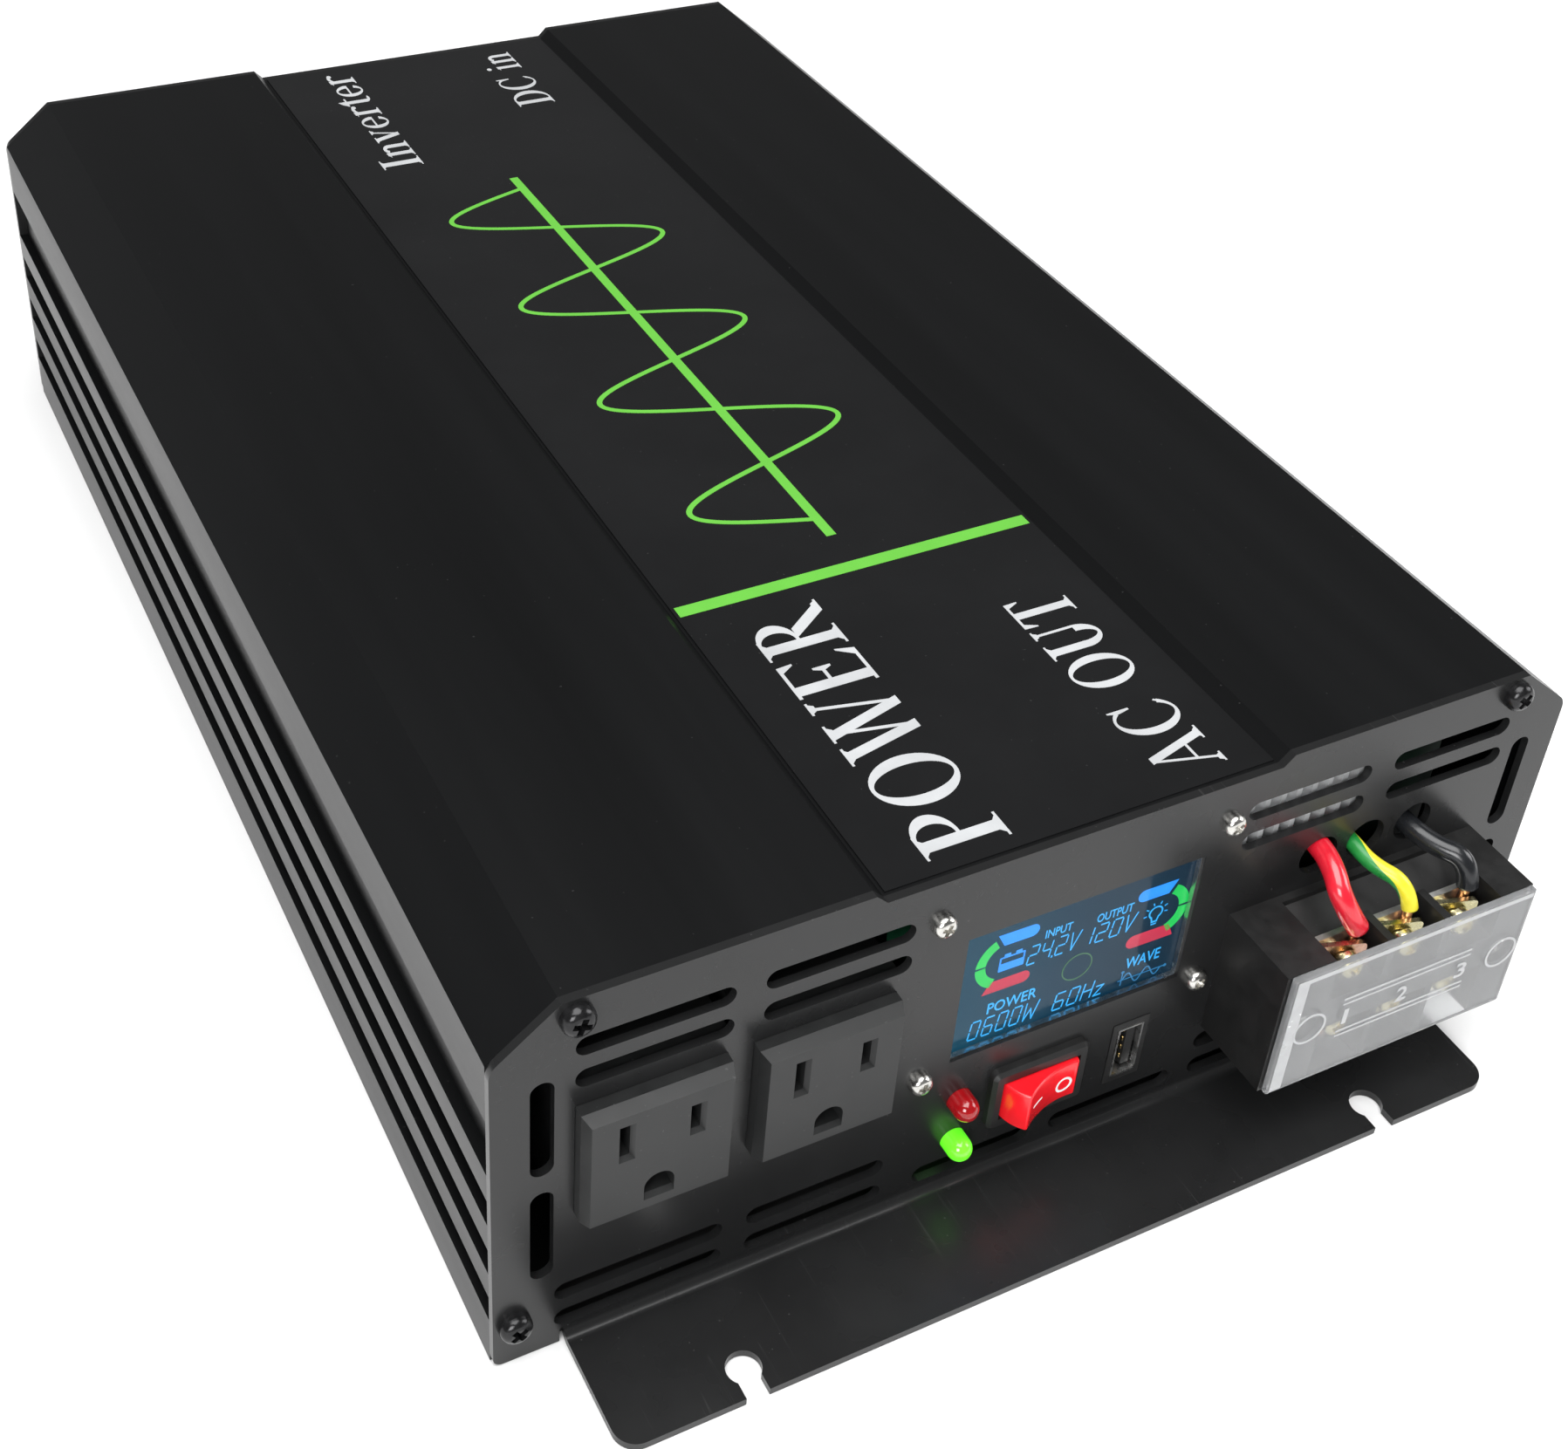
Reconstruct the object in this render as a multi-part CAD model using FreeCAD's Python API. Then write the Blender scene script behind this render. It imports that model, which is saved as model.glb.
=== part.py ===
import FreeCAD, Part
import math
import os

V = FreeCAD.Vector
os.makedirs("parts", exist_ok=True)

# ---------------------------------------------------------------- driving dimensions (mm)
# Working frame: X across the front panel from its left edge, Y from the front panel's outer
# face towards the rear panel, Z up from the base.  save() shifts every piece so that the
# origin is the centre of the base.
W = 220.0            # width of the case
L = 338.0            # front panel face to rear panel face
H = 85.5             # height of the case
T = 1.6              # sheet thickness of the folded end panels
CH_X, CH_Z = 12.0, 10.0          # top corner chamfer of the extrusion
REC_X0, REC_X1 = 67.3, 152.7     # label channel, upper edges
REC_D = 2.2                      # label channel depth (45 degree walls)
RIB_D = 2.1                      # depth of the side grooves
GROOVES = [(11.3, 17.7), (24.0, 30.4), (36.8, 43.1), (49.5, 62.5)]
WALL = 4.2                       # side wall at a rib
CEIL = 80.8                      # underside of the top wall
FL_X0, FL_X1 = 13.1, 202.7       # mounting flange
FL_D = 24.5                      # flange reach in front of the panel
BEND_I = 2.0                     # inside bend radius
KEY_X = (38.5, 175.9)            # mounting slots across
KEY_Y = 18.9                     # slot centre in front of the panel
KEY_R = 3.25                     # slot eye radius
KEY_MOUTH = 4.5                  # slot mouth width
CORNER = [(14.5, 81.8), (205.5, 81.8), (3.9, 10.0), (216.1, 10.0)]   # panel screws
OUT_X = (28.15, 60.05)           # outlet centres
OUT_Z = 47.35
OUT_W, OUT_H, OUT_P = 27.0, 26.5, 4.6
LCD = (87.2, 137.0, 36.0, 67.0)  # window cut-out
LCD_SX, LCD_SZ = (81.2, 141.4), (33.8, 73.5)
LED_X, LED_ZR, LED_ZG, LED_R = 90.6, 24.7, 13.7, 2.5
SW_X, SW_Z = 107.3, 21.7         # rocker switch centre
SW_W, SW_H = 21.0, 15.0          # bezel
RK_R, RK_Y = 8.1, -0.4           # rocker radius about its pivot, pivot depth
RK_TILT = 16.0                   # rocker angle at rest
USB_X, USB_Z = 128.2, 20.3
WIRE_X, WIRE_Z, WIRE_R = (165.2, 176.4, 187.9), 56.2, 4.4    # holes that the output wires come out of
WIRE_D = (4.4, 3.2, 4.2)
TB = (146.3, 204.9, 18.2, 48.5, 17.4)    # terminal block x0, x1, z0, z1, depth
POLE = (163.4, 176.9, 190.4)
BAYS = ((157.3, 169.4), (171.1, 182.9), (184.6, 196.8))
FAN_X, FAN_Z, FAN_S, FAN_T = (42.0, 178.0), 42.5, 60.0, 15.0
POST_X, POST_Z = (94.0, 126.0), 48.0
POST_R, POST_BORE, POST_P = 7.0, 4.1, 22.0


# ---------------------------------------------------------------- helpers
def box(x0, x1, y0, y1, z0, z1):
    return Part.makeBox(x1 - x0, y1 - y0, z1 - z0, V(x0, y0, z0))


def cyl(p, d, r, h):
    return Part.makeCylinder(r, h, V(*p), V(*d))


def cyl_y(x, z, y0, y1, r):
    return Part.makeCylinder(r, y1 - y0, V(x, y0, z), V(0, 1, 0))


def cyl_z(x, y, z0, z1, r):
    return Part.makeCylinder(r, z1 - z0, V(x, y, z0), V(0, 0, 1))


def prism_y(pts, y0, y1):
    w = Part.makePolygon([V(x, y0, z) for x, z in pts] + [V(pts[0][0], y0, pts[0][1])])
    return Part.Face(w).extrude(V(0, y1 - y0, 0))


def prism_x(pts, x0, x1):
    w = Part.makePolygon([V(x0, y, z) for y, z in pts] + [V(x0, pts[0][0], pts[0][1])])
    return Part.Face(w).extrude(V(x1 - x0, 0, 0))


def stadium_x(x0, x1, z, r, y0, y1):
    s = box(x0 + r, x1 - r, y0, y1, z - r, z + r)
    return s.fuse([cyl_y(x0 + r, z, y0, y1, r), cyl_y(x1 - r, z, y0, y1, r)])


def stadium_z(x, z0, z1, r, y0, y1):
    s = box(x - r, x + r, y0, y1, z0 + r, z1 - r)
    return s.fuse([cyl_y(x, z0 + r, y0, y1, r), cyl_y(x, z1 - r, y0, y1, r)])


def fuse(shapes):
    s = shapes[0]
    if len(shapes) > 1:
        s = s.fuse(shapes[1:])
    return s.removeSplitter()


def edges_at(shape, test):
    out = []
    for e in shape.Edges:
        b = e.BoundBox
        if test(b):
            out.append(e)
    return out


def mirror_y(shape):
    return shape.mirror(V(0, L / 2, 0), V(0, 1, 0))


def screw(head_r, head_h, shank_r, shank_l, cross=True):
    """Pan-head screw along +Y: the head's seat is at y = 0 and the head is at y < 0."""
    pts = [V(0, 0, 0), V(head_r, 0, 0), V(head_r, -0.35 * head_h, 0)]
    e = [Part.LineSegment(pts[0], pts[1]).toShape(), Part.LineSegment(pts[1], pts[2]).toShape()]
    a = Part.Arc(pts[2], V(0.86 * head_r, -0.78 * head_h, 0), V(0.5 * head_r, -head_h, 0)).toShape()
    e += [a, Part.LineSegment(V(0.5 * head_r, -head_h, 0), V(0, -head_h, 0)).toShape(),
          Part.LineSegment(V(0, -head_h, 0), V(0, 0, 0)).toShape()]
    s = Part.Face(Part.Wire(e)).revolve(V(0, 0, 0), V(0, 1, 0), 360)
    s = s.fuse(cyl((0, -0.2, 0), (0, 1, 0), shank_r, shank_l + 0.2))
    if cross:
        w, ln, d = 0.19 * head_r, 0.55 * head_r, 0.5 * head_h
        s = s.cut(box(-w, w, -head_h - 1, -head_h + d, -ln, ln))
        s = s.cut(box(-ln, ln, -head_h - 1, -head_h + d, -w, w))
    return s


def put(shape, x, y, z, turn=0.0, axis=(0, 1, 0)):
    s = shape.copy()
    if turn:
        s.rotate(V(0, 0, 0), V(*axis), turn)
    s.translate(V(x, y, z))
    return s


NODES = {}


def save(name, shapes):
    if not isinstance(shapes, (list, tuple)):
        shapes = [shapes]
    solids = []
    for s in shapes:
        solids += s.Solids
    out = solids[0] if len(solids) == 1 else Part.makeCompound(solids)
    out = out.copy()
    out.translate(V(-W / 2, -L / 2, 0))
    bad = [i for i, s in enumerate(out.Solids) if not s.isValid() or s.Volume <= 0]
    if bad:
        print("INVALID", name, bad)
    out.exportStep("parts/%s.step" % name)
    NODES[name] = out
    print("%-24s %2d solids %10.1f mm3" % (name, len(out.Solids), out.Volume))


# ---------------------------------------------------------------- case: extrusion and base plate
def shell_outline():
    left = [(0, 0)]
    for a, b in GROOVES:
        left += [(0, a), (RIB_D, a), (RIB_D, b), (0, b)]
    left += [(0, H - CH_Z), (CH_X, H), (REC_X0, H), (REC_X0 + REC_D, H - REC_D)]
    right = [(W - x, z) for x, z in reversed(left)]
    inner = [(W - WALL, 0), (W - WALL, 1.6), (W - 11, 1.6), (W - 11, 3.6), (W - WALL, 3.6),
             (W - WALL, 74.2), (W - 12.3, CEIL), (12.3, CEIL), (WALL, 74.2), (WALL, 3.6),
             (11, 3.6), (11, 1.6), (WALL, 1.6), (WALL, 0)]
    return left + right + inner


shell = prism_y(shell_outline(), T, L - T)
bosses = [cyl_y(x, z, T, L - T, 3.3) for x, z in CORNER]
shell = shell.fuse(bosses)
g0, g1 = GROOVES[0]
shell = shell.cut(box(-1, RIB_D, 0, L, g0, g1)).cut(box(W - RIB_D, W + 1, 0, L, g0, g1))
for x, z in CORNER:
    shell = shell.cut(cyl_y(x, z, T - 1, T + 14, 1.3)).cut(cyl_y(x, z, L - T - 14, L, 1.3))
BASE_SCREW = [(x, y) for x in (7.6, W - 7.6) for y in (30.0, L / 2, L - 30.0)]
for x, y in BASE_SCREW:
    shell = shell.cut(cyl_z(x, y, 1.0, 4.0, 1.25))
save("case_shell", shell.removeSplitter())

base = box(WALL + 0.1, W - WALL - 0.1, T + 0.1, L - T - 0.1, 0, 1.5)
flat = []
for x, y in BASE_SCREW:
    base = base.cut(Part.makeCone(2.8, 1.35, 1.45, V(x, y, 0))).cut(cyl_z(x, y, 1.4, 2, 1.35))
    f = Part.makeCone(2.75, 1.2, 1.45, V(x, y, 0)).fuse(cyl_z(x, y, 1.4, 3.6, 1.2))
    f = f.cut(box(x - 0.3, x + 0.3, y - 1.5, y + 1.5, -1, 0.7)).cut(box(x - 1.5, x + 1.5, y - 0.3, y + 0.3, -1, 0.7))
    flat.append(f)
save("base_plate", base)
save("base_screws", flat)

# label film in the channel
save("label_sheet", box(REC_X0 + REC_D + 0.6, REC_X1 - REC_D - 0.6, T + 0.6, L - T - 0.6, H - REC_D, H - REC_D + 0.3))


# ---------------------------------------------------------------- end panels with flange
def panel_blank():
    pts = [(0, 0), (0, H - CH_Z), (CH_X, H), (REC_X0, H), (REC_X0 + REC_D, H - REC_D),
           (REC_X1 - REC_D, H - REC_D), (REC_X1, H), (W - CH_X, H), (W, H - CH_Z), (W, 0)]
    p = prism_y(pts, 0, T)
    es = edges_at(p, lambda b: b.YLength > 1 and b.XLength < 0.01 and b.ZLength < 0.01 and
                  (abs(b.XMin) < 0.01 or abs(b.XMin - W) < 0.01) and b.ZMin > 50)
    p = p.makeFillet(4.0, es)
    es = edges_at(p, lambda b: b.YLength > 1 and b.XLength < 0.01 and b.ZLength < 0.01 and b.ZMin < 1)
    p = p.makeFillet(2.0, es)
    p = p.cut(box(FL_X0 - 0.8, FL_X1 + 0.8, -1, 5, -1, BEND_I + T))
    # bend and flange
    bo = Part.makeCylinder(BEND_I + T, FL_X1 - FL_X0, V(FL_X0, -BEND_I, BEND_I + T), V(1, 0, 0))
    bi = Part.makeCylinder(BEND_I, FL_X1 - FL_X0 + 2, V(FL_X0 - 1, -BEND_I, BEND_I + T), V(1, 0, 0))
    bend = bo.cut(bi).common(box(FL_X0, FL_X1, -BEND_I, T, 0, BEND_I + T))
    fl = box(FL_X0, FL_X1, -FL_D, -BEND_I, 0, T)
    es = edges_at(fl, lambda b: b.ZLength > 1 and b.XLength < 0.01 and b.YMax < -FL_D + 0.01)
    fl = fl.makeFillet(4.5, es)
    for x in KEY_X:
        fl = fl.cut(cyl_z(x, -KEY_Y, -1, 3, KEY_R))
        fl = fl.cut(box(x - KEY_MOUTH / 2, x + KEY_MOUTH / 2, -FL_D - 1, -KEY_Y, -1, 3))
    for x, z in CORNER:
        p = p.cut(cyl_y(x, z, -1, 3, 1.7))
    return fuse([p, bend, fl])


panel = panel_blank()
SLOTS_X = []
for z in (74.2, 66.8):
    SLOTS_X += [(14.5, 42.5, z), (47.9, 75.9, z), (145.0, 173.0, z), (178.5, 206.4, z)]
for z in (13.9, 6.7):
    SLOTS_X += [(11.2, 43.2, z), (47.9, 75.8, z), (145.5, 173.5, z), (177.6, 208.8, z)]
SLOTS_X += [(82.7, 108.2, 6.7), (112.9, 140.8, 6.7)]
cuts = [stadium_x(a, b, z, 2.1, -1, 3) for a, b, z in SLOTS_X]
for x in (8.9, 211.5):
    cuts += [stadium_z(x, 46.6, 69.0, 2.1, -1, 3), stadium_z(x, 19.9, 42.2, 2.1, -1, 3)]
for x in OUT_X:
    cuts.append(box(x - OUT_W / 2 - 0.1, x + OUT_W / 2 + 0.1, -1, 3, OUT_Z - OUT_H / 2 - 0.1, OUT_Z + OUT_H / 2 + 0.1))
cuts.append(box(LCD[0], LCD[1], -1, 3, LCD[2], LCD[3]))
cuts += [cyl_y(x, z, -1, 3, 1.6) for x in LCD_SX for z in LCD_SZ]
cuts += [cyl_y(LED_X, z, -1, 3, LED_R + 0.1) for z in (LED_ZR, LED_ZG)]
cuts.append(box(SW_X - 9.6, SW_X + 9.6, -1, 3, SW_Z - 6.6, SW_Z + 6.6))
cuts.append(box(USB_X - 4.2, USB_X + 4.2, -1, 3, USB_Z - 8.1, USB_Z + 8.1))
cuts += [cyl_y(x, WIRE_Z, -1, 3, WIRE_R) for x in WIRE_X]
TB_SCREW = ((152.4, 33.4), (200.6, 33.4))
cuts += [cyl_y(x, z, -1, 3, 1.6) for x, z in TB_SCREW]
for c in cuts:
    panel = panel.cut(c)
save("front_panel", panel.removeSplitter())

rear = mirror_y(panel_blank())
R0, R1 = L - 3, L + 1
for x in FAN_X:
    rear = rear.cut(cyl_y(x, FAN_Z, R0, R1, 28.6))
    for dx in (-25, 25):
        for dz in (-25, 25):
            rear = rear.cut(cyl_y(x + dx, FAN_Z + dz, R0, R1, 1.8))
for x in POST_X:
    rear = rear.cut(cyl_y(x, POST_Z, R0, R1, 9.0))
    for dx, dz in ((-8.5, -8.5), (8.5, 8.5)):
        rear = rear.cut(cyl_y(x + dx, POST_Z + dz, R0, R1, 1.6))
rear = rear.cut(cyl_y(W / 2, 20.0, R0, R1, 2.6))
for x0, x1 in ((82.0, 108.0), (112.0, 138.0)):
    for z in (72.0, 6.7):
        rear = rear.cut(stadium_x(x0, x1, z, 2.1, R0, R1))
save("rear_panel", rear.removeSplitter())

scr = screw(3.0, 2.6, 1.25, 13.0)
save("panel_screws", [put(scr, x, 0, z, 20 + 17 * i) for i, (x, z) in enumerate(CORNER)] +
     [mirror_y(put(scr, x, 0, z, 35 + 23 * i)) for i, (x, z) in enumerate(CORNER)])


# ---------------------------------------------------------------- mains outlets
def recess(x, z, w, h, grow, y0, y1):
    a = Part.makePolygon([V(x - w - grow, y0, z - h - grow), V(x + w + grow, y0, z - h - grow),
                          V(x + w + grow, y0, z + h + grow), V(x - w - grow, y0, z + h + grow),
                          V(x - w - grow, y0, z - h - grow)])
    b = Part.makePolygon([V(x - w, y1, z - h), V(x + w, y1, z - h), V(x + w, y1, z + h),
                          V(x - w, y1, z + h), V(x - w, y1, z - h)])
    return Part.makeLoft([a, b], True, True)


contacts = []
for name, x in zip(("outlet_left_body", "outlet_right_body"), OUT_X):
    w, h = OUT_W / 2, OUT_H / 2
    front = box(x - w, x + w, -2.1, T, OUT_Z - h, OUT_Z + h)
    front = front.fuse(recess(x, OUT_Z, w, h, -0.85, -OUT_P, -2.1))
    back = box(x - 14.5, x + 14.5, T, 16.0, OUT_Z - 16.5, OUT_Z + 16.5)
    body = front.fuse(back)
    for sx, h, zc in ((-6.7, 4.0, 53.5), (6.0, 3.3, 53.3)):
        body = body.cut(box(x + sx - 1.1, x + sx + 1.1, -7, 14.5, zc - h, zc + h))
        lip = Part.makeLoft([Part.makePolygon([V(x + sx - 1.1, y, zc - h - g), V(x + sx + 1.1 + g, y, zc - h - g),
                                               V(x + sx + 1.1 + g, y, zc + h), V(x + sx - 1.1, y, zc + h), V(x + sx - 1.1, y, zc - h - g)])
                             for y, g in ((-OUT_P - 0.01, 0.7), (-OUT_P + 0.8, 0.01))], True, True)
        body = body.cut(lip)
        body = body.cut(box(x + sx - 2.3, x + sx + 2.3, 2.0, 14.5, zc - h, zc + h))
        for s in (-1, 1):
            a, b = sorted((x + sx + s * 0.95, x + sx + s * 2.2))
            leaf = box(a, b, 2.2, 14.3, zc - h + 0.3, zc + h - 0.3)
            contacts.append(leaf)
    gx, gz, gr = x - 0.3, 40.1, 2.75
    gh = cyl_y(gx, gz, -7, 14.5, gr).common(box(gx - 4, gx + 4, -8, 15, gz - 0.01, gz + 4))
    gh = gh.fuse(box(gx - gr, gx + gr, -7, 14.5, 37.8, gz))
    body = body.cut(gh.removeSplitter())
    lip = Part.makeLoft([Part.makePolygon([V(gx - gr, y, 37.8 - g), V(gx + gr, y, 37.8 - g), V(gx + gr, y, 38.2), V(gx - gr, y, 38.2),
                                           V(gx - gr, y, 37.8 - g)]) for y, g in ((-OUT_P - 0.01, 0.8), (-OUT_P + 0.8, 0.01))], True, True)
    body = body.cut(lip)
    body = body.cut(box(gx - 3.9, gx + 3.9, 4.0, 14.5, 36.6, 44.0))
    for s in (-1, 1):
        a, b = sorted((gx + s * 2.95, gx + s * 3.8))
        contacts.append(box(a, b, 4.2, 14.3, 36.8, 43.8))
    save(name, body.removeSplitter())
save("outlet_contacts", contacts)

# ---------------------------------------------------------------- display
save("lcd_lens", box(84.4, 138.5, T, T + 1.2, 33.6, 69.4))
save("lcd_glass", box(85.6, 138.2, T + 1.2, 8.0, 34.6, 68.4))
brd = box(77.0, 145.6, 8.0, 9.6, 29.6, 77.7)
for x in LCD_SX:
    for z in LCD_SZ:
        brd = brd.cut(cyl_y(x, z, 7, 11, 1.35))
# small boards behind the front panel: display, indicator lamps, USB port
save("front_boards", [brd, box(81.0, 96.5, 6.0, 7.6, 8.0, 29.4),
                      box(USB_X + 2.85, USB_X + 4.45, 6.0, 36.0, 11.8, 29.0)])
sc = screw(2.25, 1.9, 1.25, 11.5)
save("lcd_screws", [put(sc, x, 0, z, 10 + 31 * i + 13 * j) for i, x in enumerate(LCD_SX) for j, z in enumerate(LCD_SZ)])
lcd_spacers = [cyl_y(x, z, T, 8.0, 2.6).cut(cyl_y(x, z, 0, 9, 1.4)) for x in LCD_SX for z in LCD_SZ]

# ---------------------------------------------------------------- indicator lamps
for name, z in (("led_red", LED_ZR), ("led_green", LED_ZG)):
    s = cyl_y(LED_X, z, -2.4, 6.0, LED_R).fuse(Part.makeSphere(LED_R, V(LED_X, -2.4, z)))
    s = s.fuse(cyl_y(LED_X, z, T + 0.1, T + 1.1, 2.9))
    save(name, s.removeSplitter())

# ---------------------------------------------------------------- rocker switch
bez = box(SW_X - SW_W / 2, SW_X + SW_W / 2, -2.0, 0, SW_Z - SW_H / 2, SW_Z + SW_H / 2)
bez = bez.makeFillet(1.5, edges_at(bez, lambda b: b.YLength > 1.9 and b.XLength < 0.01 and b.ZLength < 0.01))
bez = bez.makeChamfer(0.7, edges_at(bez, lambda b: b.YMax < -1.99))
hous = box(SW_X - 9.5, SW_X + 9.5, 0, 15.0, SW_Z - 6.5, SW_Z + 6.5)
bez = bez.fuse(hous)
bez = bez.cut(box(SW_X - 8.45, SW_X + 8.45, -3, 12.0, SW_Z - 4.95, SW_Z + 4.95))
bez = bez.cut(cyl_z(SW_X, RK_Y, SW_Z - 6.0, SW_Z + 6.0, 1.25))
save("switch_bezel", bez.removeSplitter())


def rocker():
    # profile in X-Y about the pivot, before tilting; the ends lie on a circle of radius RK_R
    a = math.radians(56.1)
    xe, ye = RK_R * math.sin(a), -RK_R * math.cos(a)
    yb = 3.2
    xb = math.sqrt(RK_R ** 2 - yb ** 2)
    e = [Part.Arc(V(-xe, ye, 0), V(0, ye + 1.25, 0), V(xe, ye, 0)).toShape(),
         Part.Arc(V(xe, ye, 0), V(RK_R, 0, 0), V(xb, yb, 0)).toShape(),
         Part.LineSegment(V(xb, yb, 0), V(-xb, yb, 0)).toShape(),
         Part.Arc(V(-xb, yb, 0), V(-RK_R, 0, 0), V(-xe, ye, 0)).toShape()]
    h = 4.6
    s = Part.Face(Part.Wire(e)).extrude(V(0, 0, 2 * h))
    s.translate(V(0, 0, -h))
    pin = cyl_z(0, 0, -5.9, 5.9, 1.2)
    s = s.fuse(pin)
    s.rotate(V(0, 0, 0), V(0, 0, 1), RK_TILT)
    s.translate(V(SW_X, RK_Y, SW_Z))
    return s.removeSplitter()


save("switch_rocker", rocker())
tabs = []
for dx in (-6.0, 0.0, 6.0):
    tabs.append(box(SW_X + dx - 0.4, SW_X + dx + 0.4, 15.0, 23.0, SW_Z - 2.4, SW_Z + 2.4))
save("switch_tabs", tabs)

# ---------------------------------------------------------------- USB port
ins = box(USB_X - 4.1, USB_X + 4.1, -0.2, T, USB_Z - 8.0, USB_Z + 8.0).fuse(
    box(USB_X - 5.2, USB_X + 5.2, T, 5.0, USB_Z - 9.0, USB_Z + 9.0))
ins = ins.cut(box(USB_X - 2.9, USB_X + 2.9, -1, 6, USB_Z - 6.6, USB_Z + 6.6))
save("usb_housing", ins.removeSplitter())
sh = box(USB_X - 2.85, USB_X + 2.85, -0.4, 13.5, USB_Z - 6.55, USB_Z + 6.55)
sh = sh.cut(box(USB_X - 2.45, USB_X + 2.45, -1, 13.1, USB_Z - 6.15, USB_Z + 6.15))
save("usb_shell", sh)
save("usb_tongue", box(USB_X + 0.3, USB_X + 2.2, 0.9, 13.1, USB_Z - 5.5, USB_Z + 5.5))

# ---------------------------------------------------------------- output wires
def route(points, dia, name):
    """Round tube along straight runs joined by tangent arcs."""
    p = [V(*q) for q in points]
    edges, last, radii, length = [], p[0], [], 0.0
    for i in range(1, len(p) - 1):
        a, b, c = p[i - 1], p[i], p[i + 1]
        u, w = (b - a), (c - b)
        la, lb = u.Length, w.Length
        u, w = u * (1 / la), w * (1 / lb)
        turn = math.acos(max(-1, min(1, u.dot(w))))
        d = 0.45 * min(la, lb)
        r = d / math.tan(turn / 2)
        s, f = b - u * d, b + w * d
        mid_dir = (w - u)
        mid_dir.normalize()
        centre = b + mid_dir * (r / math.cos(turn / 2))
        m = centre - mid_dir * r
        edges.append(Part.LineSegment(last, s).toShape())
        edges.append(Part.Arc(s, m, f).toShape())
        length += (s - last).Length + r * turn
        last = f
        radii.append(round(r, 1))
    edges.append(Part.LineSegment(last, p[-1]).toShape())
    length += (p[-1] - last).Length
    path = Part.Wire(edges)
    t = (p[1] - p[0])
    prof = Part.Wire([Part.makeCircle(dia / 2, p[0], t)])
    s = path.makePipeShell([prof], True, True)
    want = math.pi * dia * dia / 4 * length
    print("%s radii %s length %.1f volume ratio %.4f" % (name, radii, length, s.Volume / want))
    return s


WIRE_END_Z = 47.7
red = [(165.6, 10.0, 58.2), (165.6, 1.0, 58.2), (164.4, -5.0, 57.6), (162.8, -10.2, 54.6), (166.9, -12.0, WIRE_END_Z)]
gnd = [(173.8, 10.0, 56.0), (173.8, 1.0, 56.0), (174.6, -4.5, 54.2), (178.6, -10.6, 53.0), (179.4, -12.0, WIRE_END_Z)]
blk = [(187.9, 10.0, 54.6), (187.9, 1.0, 54.6), (189.6, -4.8, 53.6), (193.6, -10.6, 53.4), (193.6, -12.0, WIRE_END_Z)]
sheaths = []
for name, pts, d in (("wire_red", red, WIRE_D[0]), ("wire_earth", gnd, WIRE_D[1]), ("wire_black", blk, WIRE_D[2])):
    sheaths.append(route(pts, d, name))
    save(name, sheaths[-1])

# ---------------------------------------------------------------- terminal block
bx0, bx1, bz0, bz1, bd = TB
tb = box(bx0, bx1, -bd, 0, bz0, bz1)
UP0, UP1 = 38.6, 50.0            # upper bays
LO0, LO1 = 18.0, 31.0            # lower bays
for x0, x1 in BAYS:
    tb = tb.cut(box(x0, x1, -bd - 1, -9.6, UP0, UP1)).cut(box(x0, x1, -bd - 1, -9.6, LO0, LO1))
# sloping lead-ins behind the bays, above and below
xa, xb = BAYS[0][0], BAYS[2][1]
tb = tb.cut(prism_x([(-1.6, bz1 + 1), (-1.6, 47.2), (-9.6, 44.6), (-9.7, 44.6), (-9.7, bz1 + 1)], xa, xb))
tb = tb.cut(prism_x([(-1.6, bz0 - 1), (-1.6, 21.0), (-9.6, 23.6), (-9.7, 23.6), (-9.7, bz0 - 1)], xa, xb))
for x in POLE:
    tb = tb.cut(box(x - 4.7, x + 4.7, -10.8, -9.6, 23.4, 46.4))
    for z in (42.6, 27.3):
        tb = tb.cut(cyl_y(x, z, -12, -4.0, 1.6))
for x, z in TB_SCREW:
    tb = tb.cut(cyl_y(x, z, -bd - 1, 1, 1.7)).cut(cyl_y(x, z, -bd - 1, -14.8, 3.3))
save("terminal_block_body", tb.removeSplitter())

bars, clamps, tscr, cores = [], [], [], []
ts = screw(2.6, 2.3, 1.5, 9.0)
for i, x in enumerate(POLE):
    b = box(x - 4.6, x + 4.6, -10.8, -9.6, 23.5, 46.3)
    for z in (42.6, 27.3):
        b = b.cut(cyl_y(x, z, -12, -9, 1.65))
    bars.append(b)
    # upper clamp plate, skewed because the wire lies under its right half
    c = box(-4.8, 4.8, -1.1, 0, -3.4, 3.4)
    c = c.makeFillet(0.9, edges_at(c, lambda bb: bb.YLength > 1 and bb.XLength < 0.01))
    c = c.cut(cyl((0, -2, 0), (0, 1, 0), 2.0, 3))
    up = c.copy()
    up.rotate(V(0, 0, 0), V(0, 0, 1), -16.3)
    up.translate(V(x, -12.25, 42.5))
    lo = c.copy()
    lo.translate(V(x, -13.0, 27.3))
    clamps += [up, lo]
    tscr.append(put(ts, x, -14.15, 42.6, 25 + 40 * i))
    tscr.append(put(ts, x, -14.15, 27.3, 5 + 30 * i))
save("terminal_bars", bars)
save("terminal_clamps", clamps)
save("terminal_screws", tscr)
for x, sheath in zip((166.9, 179.4, 193.6), sheaths):
    cores.append(cyl_z(x, -11.9, 38.9, WIRE_END_Z, 0.95).cut(sheath))
save("wire_cores", cores)

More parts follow.
